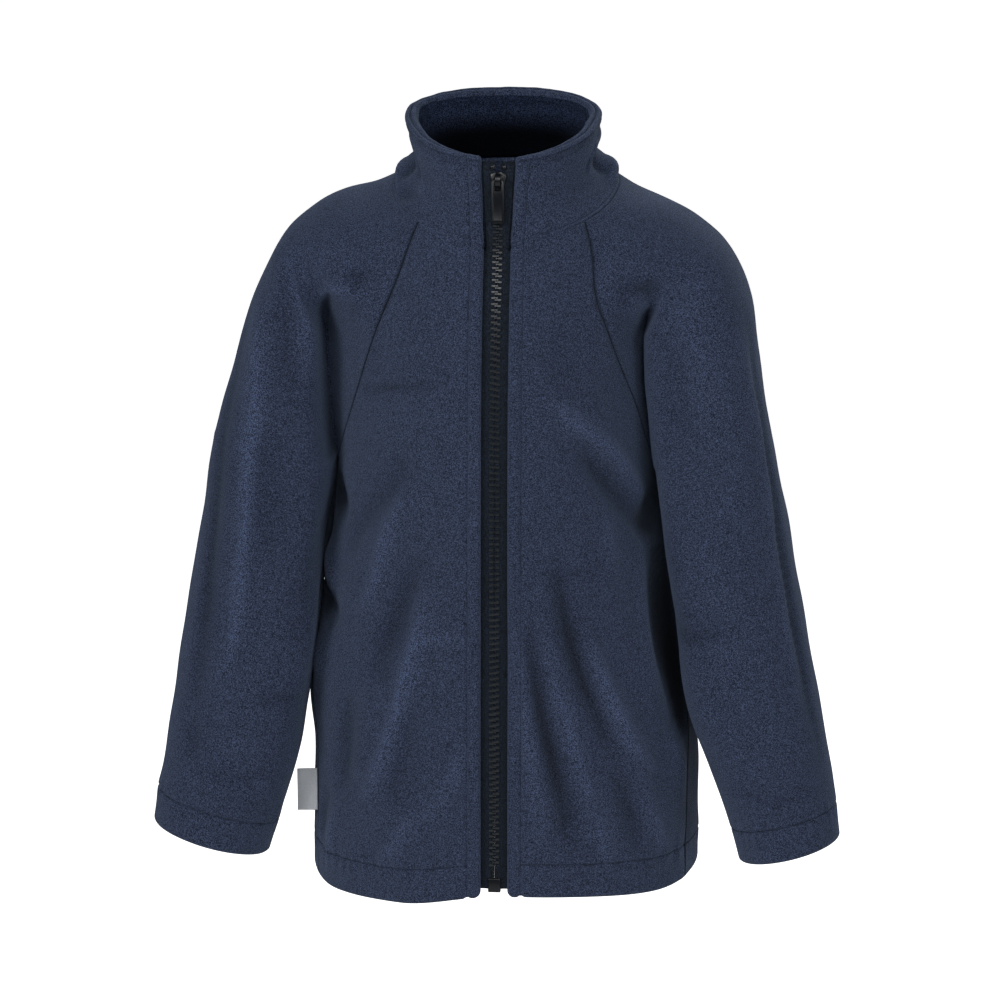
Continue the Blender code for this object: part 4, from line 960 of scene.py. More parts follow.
def back_panel():
    halves = {}
    for side, sign in SIDE_SIGN.items():
        rows = panel_rows(side, RAGLAN_BACK, 180.0)
        for row in rows:
            row[:, 3] = sign * (180 - row[:, 3])
        halves[side] = rows
    rows = [np.concatenate([right[::-1], left[1:]]) for right, left in zip(halves["right"], halves["left"])]
    cloth = Cloth(*gridded(rows, BACK_COLUMNS))
    hem = cloth.marks[..., 2]
    seams, margin = between_seams(cloth)
    crumple(cloth, BACK_CREASES, DEGREE_OF_TRUNK, margin, 13)
    angle, height = cloth.marks[..., 0], cloth.marks[..., 1]
    # the sleeves' painted shadow on the back beside the side seams
    ends = np.where(angle > 0, *(FLANK_SHADE[side][1] for side in ("left", "right")))
    shade = FOLD_PAINTED_SHADE * ease((np.abs(angle) - BACK_FLANK) / BACK_FLANK_FADES[0])
    shade = shade * ease((SLEEVE_SHADE[0] - height) / SLEEVE_SHADE[1])
    cloth.lay -= shade * ease((height - ends) / BACK_FLANK_FADES[1])
    thickness, rounding = finish_edges(cloth, seams, hem, HEM_STITCH, 14, HEM_PUCKERS)
    piece, outer, normal = shell("back", cloth, thickness, rounding, from_axis(cloth.grid), NAVY)
    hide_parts("back")
    sew(outer, normal, hem, HEM_STITCH, False, (2, 2))
    return piece


# ---------------------------------------------------------------- sleeves

SLEEVE_CREASES = {      # path of (turn, height), half widths, rise; the turn is 0 outside and 90 in front
    "right": (
        (((38, -66), (56, -113), (74, -160), (80, -215), (80, -257), (70, -296)), (4, 5), 2.8),
        (((20, -70), (34, -116), (47, -157), (50, -213), (51, -260), (50, -316)), (7, 6), -2.8),
        (((52, -36), (70, -66), (92, -118)), (4, 5), 1.5),
        (((50, -44), (62, -80), (80, -128)), (4, 4), -0.7),
        (((78, -145), (89, -184), (94, -224)), (10, 9), -1.6),
        (((98, -72), (117, -58), (140, -62)), (4, 5), 2.2),
        (((122, -49), (136, -50), (150, -56)), (5, 6), -1.6),
        (((104, -306), (124, -303), (150, -310)), (4, 5), -1.0),
        (((150, -222), (141, -260), (138, -303)), (8, 8), 1.8),
        (((48, -317), (56, -330), (60, -346)), (6, 6), -1.3),
        (((70, -345), (100, -352), (135, -344)), (4, 5), -0.6),
        (((-170, -225), (-122, -258), (-70, -252)), (7, 8), -3.4),
        (((-168, -242), (-120, -277), (-68, -274)), (6, 6), 2.0),
        (((-165, -262), (-118, -296), (-66, -296)), (7, 7), -3.0),
        (((-56, -80), (-72, -160), (-78, -236)), (6, 8), 2.4),
        (((-96, -84), (-102, -150), (-112, -215)), (8, 9), -2.6),
        (((-14, -110), (-30, -200), (-38, -300)), (7, 9), -1.8),
        (((-150, -90), (-140, -130), (-136, -170)), (6, 8), -2.2),
    ),
    "left": (
        (((160, -66), (143, -58), (110, -54)), (5, 7), -2.0),
        (((152, -78), (141, -66), (116, -70)), (4.5, 5.5), 1.7),
        (((80, -76), (86, -110), (90, -145)), (7, 6), -0.9),
        (((31, -72), (29, -124), (33, -169), (38, -205), (34, -250), (31, -290), (32, -336)), (4, 4.5), -2.2),
        (((43, -78), (39, -123), (44, -170), (46, -213), (43, -260), (43, -305)), (3.5, 4), 1.3),
        (((62, -50), (72, -90), (76, -140)), (9, 9), 1.2),
        (((104, -200), (98, -250), (92, -300)), (11, 11), 1.2),
        (((150, -250), (120, -262), (84, -256)), (5, 6), -1.2),
        (((50, -350), (90, -358), (132, -350)), (4, 5), -0.6),
        (((176, -226), (178, -240), (170, -262)), (7, 7), -1.6),
        (((-166, -236), (-120, -262), (-72, -258)), (7, 8), -3.2),
        (((-168, -252), (-118, -282), (-66, -284)), (6, 6), 2.0),
        (((-165, -272), (-118, -302), (-66, -306)), (7, 7), -2.8),
        (((-56, -80), (-72, -160), (-78, -236)), (6, 8), 2.4),
        (((-96, -84), (-102, -150), (-112, -215)), (8, 9), -2.6),
        (((-14, -110), (-26, -200), (-34, -300)), (7, 9), -1.6),
    ),
}
DEGREE_OF_SLEEVE = 0.72
SLEEVE_DENSE = 500


def arch(front, over, back, fullness, count=200):
    """Half an oval from the front seam over the arm to the back seam. A fullness of 2 is a true oval."""
    middle = (front + back) / 2
    turn = np.linspace(0, math.pi, count)[:, None]
    ahead, out = np.cos(turn), np.sin(turn)
    power = np.where(ahead > 0, 2 / fullness, 2 / np.minimum(fullness, BACK_ARCH_FULLNESS))
    ahead = np.sign(ahead) * np.abs(ahead) ** power
    return middle + (front - middle) * ahead + (over - middle) * out**power


def squared(turn, share=1.0):
    """Cosine and sine of a turn, drawn out towards the corners of their square. A share of 0 is a true oval."""
    cosine, sine = np.cos(turn), np.sin(turn)
    power = 2 / (2 + (np.where(cosine > 0, *TUBE_SQUARENESS) - 2) * share)
    return np.sign(cosine) * np.abs(cosine) ** power, np.sign(sine) * np.abs(sine) ** power


def tube_from(front, over, back, half_depth, count=400):
    """Most of a squarish oval: it leaves the trunk at `front`, goes round the arm and comes back at `back`."""
    middle = (front + back) / 2
    gap = (front - back) / 2
    half_gap = np.linalg.norm(gap)
    facing = gap / half_gap if half_gap > 1 else np.array([0.0, -1.0, 0.0])
    opening = math.asin(min(half_gap / half_depth, 1) ** (TUBE_SQUARENESS[1] / 2))
    reach = math.cos(opening) ** (2 / TUBE_SQUARENESS[1])
    out = (over - middle) / (1 + reach)
    turn = np.linspace(math.pi - opening, opening - math.pi, count)[:, None]
    cosine, sine = squared(turn)
    return middle + out * (reach + cosine) + facing * half_depth * sine


def trunk_normal(side, angle, height):
    """The way out of the trunk's form at each of these places."""
    across = trunk(side, angle + 0.5, height) - trunk(side, angle - 0.5, height)
    upward = trunk(side, angle, height + 0.5) - trunk(side, angle, height - 0.5)
    normal = np.cross(across, upward)
    normal /= np.linalg.norm(normal, axis=-1, keepdims=True)
    place = trunk(side, angle, height)
    facing = np.sign(normal[:, 0] * place[:, 0] + normal[:, 1] * place[:, 1])
    return normal * facing[:, None]


def lip(side, from_angle, from_height, to_angle, to_height, out, count=60):
    """The stretch of sleeve between the raglan seam and the fold. It leaves the trunk's form by `out`."""
    share = np.linspace(0, 1, count)
    angle, height = from_angle + (to_angle - from_angle) * share, from_height + (to_height - from_height) * share
    points = trunk(side, angle, height)
    points[:, 0] += SIDE_SIGN[side] * out * share**1.5
    return points


def neck_blend(neck, row, down):
    """The first row is the neck seam itself, and its shape fades out in the next ones."""
    near = 1 - ease(down / 0.3)
    ends = row[[0, -1]] - neck[[0, -1]]
    share = np.linspace(0, 1, len(row))[:, None]
    carried = neck + ends[0] * (1 - share) + ends[1] * share
    middle = len(row) // 2
    carried = carried + np.sin(math.pi * share) * (row[middle] - carried[middle])
    return row + (carried - row) * near


def sleeve_row(places, above_cuff, painted_shade, seam_normal):
    """A row with its marks: turn, height, height above the cuff's edge, how much painted shade it gets, seam normal."""
    turn = 180 - 360 * np.linspace(0, 1, SLEEVE_DENSE)
    return np.column_stack([places, turn, places[:, 2], np.full(SLEEVE_DENSE, above_cuff), painted_shade, seam_normal])


def cap_rows(side):
    """The sleeve from the neck seam to the underarm. Each row runs from the front seam to the back seam."""
    length = seam_length(RAGLAN_FRONT[side], side)
    downs = np.concatenate([NEAR_EDGE, np.linspace(NEAR_EDGE[-1], length, int(length / POINT_STEP))[1:]]) / length
    front_angle, front_height, front = seam_line(RAGLAN_FRONT[side], side, downs)
    back_angle, back_height, back = seam_line(RAGLAN_BACK, side, downs)
    angle = np.linspace(RAGLAN_FRONT[side][0][0], RAGLAN_BACK[0][0], 200)
    neck = trunk(side, angle, neck_height(angle))
    sign = SIDE_SIGN[side]
    knots = [neck[len(neck) // 2]]
    knots += [np.array([sign * out, -forward, height]) for out, forward, height in OVERARM[side]]
    over = evenly(through(knots, 600), downs)
    front_normal = trunk_normal(side, front_angle, front_height)
    back_normal = trunk_normal(side, back_angle, back_height)
    even = np.linspace(0, 1, SLEEVE_DENSE)
    shares = 0.6 * even + 0.4 * (1 - np.cos(math.pi * even)) / 2
    neck = evenly(neck, shares)
    rows = []
    for k, down in enumerate(downs):
        fullness = 2 + (ARCH_FULLNESS - 2) * ease(down / FOLD_OPENS[side])
        smooth = evenly(neck_blend(neck, evenly(arch(front[k], over[k], back[k], fullness), shares), down), even)
        share = np.clip((down - FOLD_OPENS[side]) / (1 - FOLD_OPENS[side]), 0, 1)
        top, fold, out = FOLD_TOP[side]
        height = top + (UNDERARM_HEIGHT - top) * share
        fold += (90 - fold) * share
        out *= (1 - share) ** 0.4
        before = lip(side, front_angle[k], front_height[k], fold, height, out)
        after = lip(side, back_angle[k], back_height[k], 180 - fold, height, out)[::-1]
        round_arm = tube_from(before[-1], over[k], after[0], ARMPIT_HALF_DEPTH)
        folded = np.concatenate([before[:-1], round_arm, after[1:]])
        along = lengths_along(folded)
        past = along[-1] * even
        past = np.minimum(past - along[len(before) - 1], along[-len(after)] - past)
        opened = ease((down - FOLD_OPENS[side]) / (FOLD_FULL - FOLD_OPENS[side]))
        row = blurred(smooth + (evenly(folded, even) - smooth) * opened, 3.0 * opened)
        from_end = along[-1] * np.minimum(even, 1 - even)
        weight = ease(share) ** 2 * ease(from_end / (1 + 12 * (1 - share)))
        lying = sign * lie_on_trunk(side, math.pi * (1 - 2 * even), sign * row[:, 0], row[:, 1], row[:, 2])
        row[:, 0] += (lying - row[:, 0]) * weight
        row = evenly(row, even)
        # painted shade in the fold between the sleeve and the trunk
        painted_shade = opened * np.exp(-((past / np.where(past > 0, *FOLD_SHADE_REACH)) ** 2))
        nearest = np.where(even[:, None] < 0.5, front_normal[k], back_normal[k])
        rows.append(sleeve_row(row, NO_CUFF, painted_shade, nearest))
    return rows, over[-1]


def lie_on_trunk(side, turn, x, y, z):
    """Draws the inner side of a sleeve's ring onto the trunk beside it."""
    toward = np.clip(-np.cos(turn), 0, 1)
    behind = ease((y - REST_FROM[0]) / (REST_FROM[1] - REST_FROM[0]))
    resting = 1 - ease((REST_FADES[0] - z) / (REST_FADES[0] - REST_FADES[1]))
    return x + (flank(side, y, z) + REST_GAP - x) * toward**REST_POWER * behind * resting


def tube_rows(side, over):
    """The rings from the underarm to the cuff, each from the seam under the arm round and back to it."""
    sign = SIDE_SIGN[side]
    under = trunk(side, 90.0, UNDERARM_HEIGHT)
    middle = (under + over) / 2
    lean = under[1] - middle[1]
    first = (middle[2], abs(under[0]), abs(over[0]), -middle[1], ARMPIT_HALF_DEPTH)
    table = [first] + list(SLEEVE[side])
    length = first[0] - table[-1][0]
    tilt = math.tan(math.radians(SLEEVE_TILT[side]))
    turn = np.linspace(math.pi, -math.pi, 2 * SLEEVE_DENSE)
    even = np.linspace(0, 1, SLEEVE_DENSE)
    rows = []
    for step in rows_to_hem(length, CUFF_STITCH)[1:]:
        height = table[-1][0] + step
        inner, outer, forward, half_depth = (
            read(table, SLEEVE_COLUMNS, name, height, "height") for name in SLEEVE_COLUMNS[1:]
        )
        half = (outer - inner) / 2
        swing = lean * (1 - ease((first[0] - height) / LEAN_FADES_OVER))
        cosine, sine = squared(turn, ease(step / length))
        x = (inner + outer) / 2 + half * cosine
        y = -forward - half_depth * sine - swing * cosine
        z = height + tilt * half * cosine
        x = lie_on_trunk(side, turn, x, y, z)
        row = evenly(np.stack([sign * x, y, z], axis=1), even)
        near = np.minimum(even, 1 - even) * lengths_along(row)[-1]
        # painted shade under the arm, beside the seam where the sleeve meets the trunk
        wider, over_length = UNDER_ARM_SHADE_REACH
        reach = FOLD_SHADE_REACH[0] + wider * ease((first[0] - height) / over_length)
        painted_shade = np.exp(-((near / reach) ** 2)) * ease((height - UNDER_ARM_SHADE_DOWN_TO[0]) / UNDER_ARM_SHADE_DOWN_TO[1])
        rows.append(sleeve_row(row, step, painted_shade, np.zeros((SLEEVE_DENSE, 3))))
    return rows


def sleeve(side):
    cap, over = cap_rows(side)
    cloth = Cloth(*gridded(cap + tube_rows(side, over), SLEEVE_GRID_COLUMNS))
    cuff = cloth.marks[..., 2]
    seams, margin = between_seams(cloth)
    seed = 15 if side == "right" else 16
    crumple(cloth, SLEEVE_CREASES[side], DEGREE_OF_SLEEVE, margin, seed)
    # the sleeve's painted shade in the fold and under the arm
    cloth.lay -= FOLD_PAINTED_SHADE * cloth.marks[..., 3]
    thickness, rounding = finish_edges(cloth, seams, cuff, CUFF_STITCH, seed, CUFF_PUCKERS)
    cloth.seam_normal = cloth.marks[..., 4:7]
    on_trunk = np.linalg.norm(cloth.seam_normal, axis=-1) > 0.9
    cloth.at_seam = (1 - ease(np.minimum(*seams) / 6)) * on_trunk
    outward = cloth.grid - cloth.grid.mean(axis=1, keepdims=True)
    piece, outer, normal = shell(f"sleeve_{side}", cloth, thickness, rounding, outward, NAVY)
    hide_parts(f"sleeve_{side}")
    sew(outer, normal, cuff, CUFF_STITCH, False)
    return piece


# ---------------------------------------------------------------- collar

COLLAR_CREASES = (      # path of (distance from the centre back, distance from the top), half widths, rise
    (((84, 22), (92, 30), (99, 37)), (4, 4.5), -1.8),
    (((-88, 24), (-96, 30), (-106, 40)), (4, 4.5), -1.8),
    (((-74, 38), (-92, 43), (-116, 51)), (6, 6), 3.0),
    (((70, 36), (88, 40), (108, 47)), (6, 6), 3.0),
    (((106, 24), (98, 17), (90, 11)), (2.6, 3), 1.4),
    (((112, 26), (104, 20), (95, 15)), (2.6, 3), -1.2),
    (((-114, 22), (-122, 29), (-134, 34)), (3, 4), 1.2),
    (((-118, 36), (-126, 42), (-132, 47)), (6, 6), -1.4),
    (((-104, 18), (-114, 26), (-128, 30)), (3, 3), -1.0),
    (((-44, 20), (-8, 27), (38, 21)), (7, 8), -1.8),
    (((-52, 36), (-10, 42), (48, 35)), (8, 8), 1.6),
    (((62, 9), (80, 9.5), (97, 12)), (1.6, 2.0), -1.5),
    (((66, 14), (82, 15), (98, 18)), (2.4, 2.8), 1.0),
    (((-58, 8), (-78, 8.5), (-100, 8)), (1.4, 1.8), -0.9),
)
RIM_GROOVES = (         # distance from the top, half width, depth, and how far either side of the side of the neck
    (3.2, 0.7, 0.8, 84),
    (6.0, 0.7, 0.55, 76),
)
COLLAR_DENSE = 200
COLLAR_GRID = (180, 34)         # columns round the neck, rows from rim to seam, between the close ones at the edges
COLLAR_MARGIN = 8               # creases fade out this far from the neck seam
COLLAR_SWELL_SIZE = 28
SIDE_OF_NECK = 84               # its distance from the centre back
RIM_UNEVEN, RIM_UNEVEN_SIZE = 0.35, 9
ROLL_STEPS, ROLL_UNEVEN = 12, 0.07


def collar_ring(side, first, front_height, back_height, half_width, shift, front, back):
    angle = first + (180 - first) * np.linspace(0, 1, COLLAR_DENSE)
    ahead = np.cos(np.radians(angle))
    x = SIDE_SIGN[side] * half_width * np.sin(np.radians(angle)) + shift * (1 - ahead**2)
    y = np.where(ahead > 0, -front, back) * np.abs(ahead)
    height = back_height + (front_height - back_height) * (back - y) / (front + back)
    return np.stack([x, y, height], axis=-1)


def collar_cloth():
    rings = []
    for k in range(len(COLLAR) + 1):
        halves = []
        for side in SIDE_SIGN:
            if k == 0:
                height = neck_height(0.0)
                first = float(angle_at(side, edge_distance(height), height))
                angle = first + (180 - first) * np.linspace(0, 1, COLLAR_DENSE)
                halves.append(trunk(side, angle, neck_height(angle)))
            else:
                first = math.degrees(math.asin(edge_distance(COLLAR[k - 1][0]) / COLLAR[k - 1][2]))
                halves.append(collar_ring(side, first, *COLLAR[k - 1]))
        ring = np.concatenate([halves[0], halves[1][-2::-1]])
        rings.append(at_lengths(ring, stations(lengths_along(ring)[-1], COLLAR_GRID[0], NEAR_FRONT, NEAR_FRONT)))
    rings = np.array(rings)
    top = rings[-1] - rings[-2]
    crest = rings[-1] + top / np.linalg.norm(top, axis=1, keepdims=True) * COLLAR_ROLL
    rings = np.concatenate([rings, crest[None]])[::-1]
    columns = [through(rings[:, j], 300) for j in range(rings.shape[1])]
    columns = [
        at_lengths(line, stations(lengths_along(line)[-1], COLLAR_GRID[1], NEAR_EDGE, NEAR_NECK)) for line in columns
    ]
    return Cloth(np.stack(columns, axis=1), None)


def collar():
    """Two layers turned in at the top, where each makes its own soft roll with a groove between them."""
    cloth = collar_cloth()
    middle = cloth.from_start[:, -1:] / 2
    cloth.marks = np.stack([cloth.from_start - middle, cloth.from_top], axis=-1)
    margin = ease(cloth.to_bottom / COLLAR_MARGIN)
    crumple(cloth, COLLAR_CREASES, 1, margin, 8, COLLAR_SWELL_SIZE)
    around = np.abs(cloth.marks[..., 0])
    uneven = 1 + RIM_UNEVEN * wander(cloth.grid, RIM_UNEVEN_SIZE, 21)
    for place, width, depth, reach in RIM_GROOVES:
        near_side = np.exp(-(((around - SIDE_OF_NECK) / reach) ** 4))
        line = dip_along_sewing(cloth.from_top, place, width, 1) * near_side * uneven
        cloth.rise += depth * line
        # painted shade in the rim's grooves
        cloth.lay += 0.3 * line
    for distance in (cloth.from_start, cloth.to_end):
        cloth.rise += groove(distance, FRONT_STITCH) + band_puff(distance) * margin
    cloth.rise += 0.7 * groove(cloth.to_bottom, NECK_STITCH)
    cloth.grid = neck_roll(cloth.grid, cloth.to_bottom)
    thickness = FLEECE + (COLLAR_WALL - FLEECE) * ease(cloth.to_bottom / 6)
    thickness = thickness + (COLLAR_TOP - COLLAR_WALL) * ease(1 - cloth.from_top / 14)
    ends = corner_distance((cloth.from_start, cloth.to_end), COLLAR_WALL / 2)
    normal = cloth.normals(from_axis(cloth.grid))
    fall = round_off(ends + EDGE_FLAT, COLLAR_WALL / 2)
    outer = cloth.grid + normal * (cloth.rise - fall)[..., None]
    inner = outer - normal * (thickness - 2 * fall)[..., None]
    sew(outer, normal, cloth.from_start, FRONT_STITCH, True, (9, 4))
    sew(outer, normal, cloth.to_end, FRONT_STITCH, True, (9, 4))
    sew(outer, normal, cloth.to_bottom, NECK_STITCH, False, (14, 14))
    below = int(np.searchsorted(cloth.from_top[:, cloth.grid.shape[1] // 2], COLLAR_TOP / 4))
    up = outer[below - 2] - outer[below + 2]
    up /= np.linalg.norm(up, axis=1, keepdims=True)
    across = inner[below] - outer[below]
    width = np.linalg.norm(across, axis=1, keepdims=True)
    rolls = []
    swell = 1 + ROLL_UNEVEN * wander(outer[below], RIM_UNEVEN_SIZE, 22)[:, None]
    for turn in np.linspace(0, math.pi, ROLL_STEPS)[:-1]:
        lift = up * width / 4 * (math.sin(turn) * swell + 0.1 * math.cos(turn / 2) ** 2)
        aside = across * (1 + math.cos(turn)) / 4 * 0.97
        rolls.append((outer[below] + lift + aside, inner[below] + lift - aside))
    outer = np.concatenate([[one for one, _ in rolls], outer[below:]])
    inner = np.concatenate([[one for _, one in rolls], inner[below:]])
    rolled = Cloth(outer, None)
    rolled.lay[len(rolls):] = cloth.lay[below:]
    # painted shade in the groove between the two rolls, and a painted highlight on the outer roll's front
    rolled.lay[:len(rolls)] = np.linspace(-0.4, 0.28, len(rolls))[:, None] ** 3 * 6 * swell.T
    piece = mesh_from_grids("collar", outer, inner, rolled, NAVY)
    give_inside(piece, *outer.shape[:2], len(rolls) + 1, NAVY_INSIDE_PAINTED_SHADE)
    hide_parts("collar")
    return piece


# ---------------------------------------------------------------- small pieces set along lines

def loft(name, rings, material, smooth):
    """A closed mesh through rings of the same number of points, with a flat cap at both ends."""
    count = len(rings[0])
    faces = [list(range(count))[::-1], [len(rings) * count - count + k for k in range(count)]]
    for k in range(len(rings) - 1):
        for j in range(count):
            after = (j + 1) % count
            faces.append([k * count + j, k * count + after, (k + 1) * count + after, (k + 1) * count + j])
    mesh = bpy.data.meshes.new(name)
    mesh.from_pydata([[length * MM for length in point] for ring in rings for point in ring], [], faces)
    solid = bmesh.new()
    solid.from_mesh(mesh)
    bmesh.ops.recalc_face_normals(solid, faces=solid.faces)
    solid.to_mesh(mesh)
    solid.free()
    mesh.materials.append(material)
    if smooth:
        mesh.shade_smooth()
    return placed(name, mesh)


def one_tooth():
    """A moulded tooth: x along the zip, y towards the other row, z out. Its head reaches past the middle."""
    outline = [(half, across) for across, half in TOOTH] + [(-half, across) for across, half in reversed(TOOTH)]
    rings = []
    flat_top = TOOTH_HALF_DEPTH - TOOTH_ROUNDING
    for depth, shrink in ((-TOOTH_HALF_DEPTH, 0), (flat_top, 0), (TOOTH_HALF_DEPTH, TOOTH_ROUNDING)):
        narrower = 1 - shrink * 1.3
        rings.append([
            (along * narrower, across + shrink * (0.6 if across < -1 else -0.6), depth) for along, across in outline
        ])
    return loft("tooth", rings, TEETH, False)


def one_stitch():
    """A stitch lying along x, sunk at both ends."""
    turns = [k * math.pi / 3 for k in range(6)]
    rings = [
        [(along, radius * math.cos(t), lift + radius * math.sin(t)) for t in turns] for along, radius, lift in STITCH
    ]
    return loft("stitch", rings, THREAD, True)


def repeater():
    """A node tree that sets copies of a piece along lines. The lines carry the ways `along` and `outward`."""
    tree = bpy.data.node_groups.new("repeat_along_line", "GeometryNodeTree")
    tree.interface.new_socket("Geometry", in_out="INPUT", socket_type="NodeSocketGeometry")
    pitch = tree.interface.new_socket("Pitch", in_out="INPUT", socket_type="NodeSocketFloat")
    pitch.default_value = 0.003
    tree.interface.new_socket("Piece", in_out="INPUT", socket_type="NodeSocketObject")
    tree.interface.new_socket("Finish", in_out="INPUT", socket_type="NodeSocketMaterial")
    tree.interface.new_socket("Geometry", in_out="OUTPUT", socket_type="NodeSocketGeometry")
    given, result = tree.nodes.new("NodeGroupInput"), tree.nodes.new("NodeGroupOutput")
    curve = tree.nodes.new("GeometryNodeMeshToCurve")
    spaced = tree.nodes.new("GeometryNodeResampleCurve")
    spaced.mode = "LENGTH"
    piece = tree.nodes.new("GeometryNodeObjectInfo")
    axes = tree.nodes.new("FunctionNodeAxesToRotation")
    axes.primary_axis, axes.secondary_axis = "Z", "X"
    for title, socket in (("outward", "Primary Axis"), ("along", "Secondary Axis")):
        way = tree.nodes.new("GeometryNodeInputNamedAttribute")
        way.data_type = "FLOAT_VECTOR"
        way.inputs["Name"].default_value = title
        tree.links.new(way.outputs["Attribute"], axes.inputs[socket])
    copies = tree.nodes.new("GeometryNodeInstanceOnPoints")
    real = tree.nodes.new("GeometryNodeRealizeInstances")
    finish = tree.nodes.new("GeometryNodeSetMaterial")
    for first, out, then, into in (
        (given, "Geometry", curve, "Mesh"), (curve, "Curve", spaced, "Curve"), (given, "Pitch", spaced, "Length"),
        (given, "Piece", piece, "Object"), (spaced, "Curve", copies, "Points"), (piece, "Geometry", copies, "Instance"),
        (axes, "Rotation", copies, "Rotation"), (copies, "Instances", real, "Geometry"),
        (real, "Geometry", finish, "Geometry"), (given, "Finish", finish, "Material"),
        (finish, "Geometry", result, "Geometry"),
    ):
        tree.links.new(first.outputs[out], then.inputs[into])
    return tree


def set_along(tree, name, lines, pitch, piece, material):
    """One object with copies of the piece along every line. A line is its places and the way out at each."""
    places, ways, outs, edges = [], [], [], []
    for line, outward in lines:
        start = len(places)
        places.extend(line * MM)
        ways.extend(np.gradient(line, axis=0))
        outs.extend(outward)
        edges.extend((k, k + 1) for k in range(start, start + len(line) - 1))
    mesh = bpy.data.meshes.new(name)
    mesh.from_pydata(places, edges, [])
    for title, values in (("along", ways), ("outward", outs)):
        layer = mesh.attributes.new(title, "FLOAT_VECTOR", "POINT")
        layer.data.foreach_set("vector", np.asarray(values, np.float32).ravel())
    path = placed(name + "_path", mesh)
    modifier = path.modifiers.new("repeat", "NODES")
    modifier.node_group = tree
    sockets = {item.name: item.identifier for item in tree.interface.items_tree if item.in_out == "INPUT"}
    modifier[sockets["Pitch"]] = pitch * MM
    modifier[sockets["Piece"]] = piece
    modifier[sockets["Finish"]] = material
    made = bpy.data.meshes.new_from_object(path.evaluated_get(bpy.context.evaluated_depsgraph_get()))
    bpy.data.objects.remove(path, do_unlink=True)
    return placed(name, made)


# ---------------------------------------------------------------- zip

def front_line(height):
    """How far in front of the neck's middle the cloth lies along the zip."""
    rows = [(row[0], row[3]) for row in TRUNK if row[0] <= NECK[0][1]]
    rows += [(row[0], row[4]) for row in COLLAR]
    return read(rows, ("height", "front"), "front", height, "height")


def behind_cloth(x, height, inset):
    """A point of the zip: x from its middle, `inset` behind the surface of the cloth beside it."""
    width = read(TRUNK, TRUNK_COLUMNS, "left", np.minimum(height, NECK[0][1]), "height")
    return np.stack([x, -front_line(height) * np.sqrt(1 - (x / width) ** 2) + inset, height], axis=-1)


def tape_inner(height):
    """The tapes' cords meet below the slider, spread above it and go round the retaining box."""
    spread = 1.4 * ease((height - SLIDER_HEIGHT + 1.5) / 3) + 0.8 * ease((height - 11) / 5)
    return TAPE_GAP + spread + (BOX_HALF_WIDTH - TAPE_GAP - 0.2) * ease((BOX_TOP + 0.5 - height) / 1)


def tape_outer(height):
    """Behind the fronts the tape reaches under the cloth. In the collar it stops at the cloth's edge."""
    in_collar = ease((height - NECK[0][1] + 4) / 3.5)
    return TAPE_EDGE + (edge_distance(height) - TAPE_SHORT - TAPE_EDGE) * in_collar


TAPE_CURL = 0.28        # how fast the folded end turns back


def tape(side):
    """A woven tape with a cord in its inner edge. Its upper end is folded back."""
    bends = [19.0, 18.5, 18, 17.5, 17, 16.5, 16, 15.5, 15, 14, 13, 12, 11, 10, 9, 8, 7, 6, 5]
    feet = [-402, -403, -404, -404.3, -404.6, -405, -405.5, -406, -408, -410, -410.6, TAPE_BOTTOM]
    along = np.array(bends + list(np.linspace(3, -400, 240)) + feet)[:, None]
    height = np.minimum(along, TAPE_TOP)
    start, end = tape_inner(height), tape_outer(height)
    share = np.concatenate([np.linspace(0, 0.16, 10), np.linspace(0.16, 1, 14)[1:]])[None]
    x = start + (end - start) * share
    height = np.broadcast_to(height, x.shape)
    at, width, swell = TAPE_CORD
    thickness = TAPE_THICKNESS + swell * np.exp(-(((x - start - at) / width) ** 2))
    fall = round_off(np.minimum(x - start, end - x) + EDGE_FLAT, TAPE_THICKNESS / 2)
    folded = np.clip(along - TAPE_FOLDS_AT, 0, None)
    back = TAPE_CURL * folded**2
    face = behind_cloth(x, height, ZIP_MIDDLE - thickness / 2 + fall + back)
    rear = behind_cloth(x, height, ZIP_MIDDLE + thickness / 2 - fall + back)
    rear[..., 2] -= np.minimum(0.5 * folded, 0.9)
    mirror = np.array([SIDE_SIGN[side], 1, 1])
    piece = mesh_from_grids(f"tape_{side}", face * mirror, rear * mirror, Cloth(face, None), TAPE)
    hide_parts(f"zip_tape_{side}")
    return piece


LINE_POINTS = 400       # of the line that teeth are set along


def teeth(side, tree, tooth):
    """One row of teeth. The two rows are half a pitch apart, and each row's heads point across the middle."""
    line = behind_cloth(np.zeros(LINE_POINTS), np.linspace(TEETH_TOP, TEETH_BOTTOM + 1, LINE_POINTS), ZIP_MIDDLE)
    first = TEETH_PITCH / 2 if side == "left" else 0
    last = first + math.floor((lengths_along(line)[-1] - first) / TEETH_PITCH) * TEETH_PITCH
    line = at_lengths(line, np.linspace(first, last, LINE_POINTS))
    if side == "left":
        line = line[::-1]
    along = np.gradient(line, axis=0)
    outward = np.stack([np.zeros(LINE_POINTS), along[:, 2], -along[:, 1]], axis=1)
    outward *= np.where(outward[:, 1:2] > 0, -1, 1)
    row = set_along(tree, f"teeth_{side}", [(line, outward)], TEETH_PITCH, tooth, TEETH)
    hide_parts(f"zip_teeth_{side}")
    return row


SHARP_EDGE, FLAT_EDGE = math.radians(40), math.radians(2)
SAME_PLACE = 1e-6       # in metres


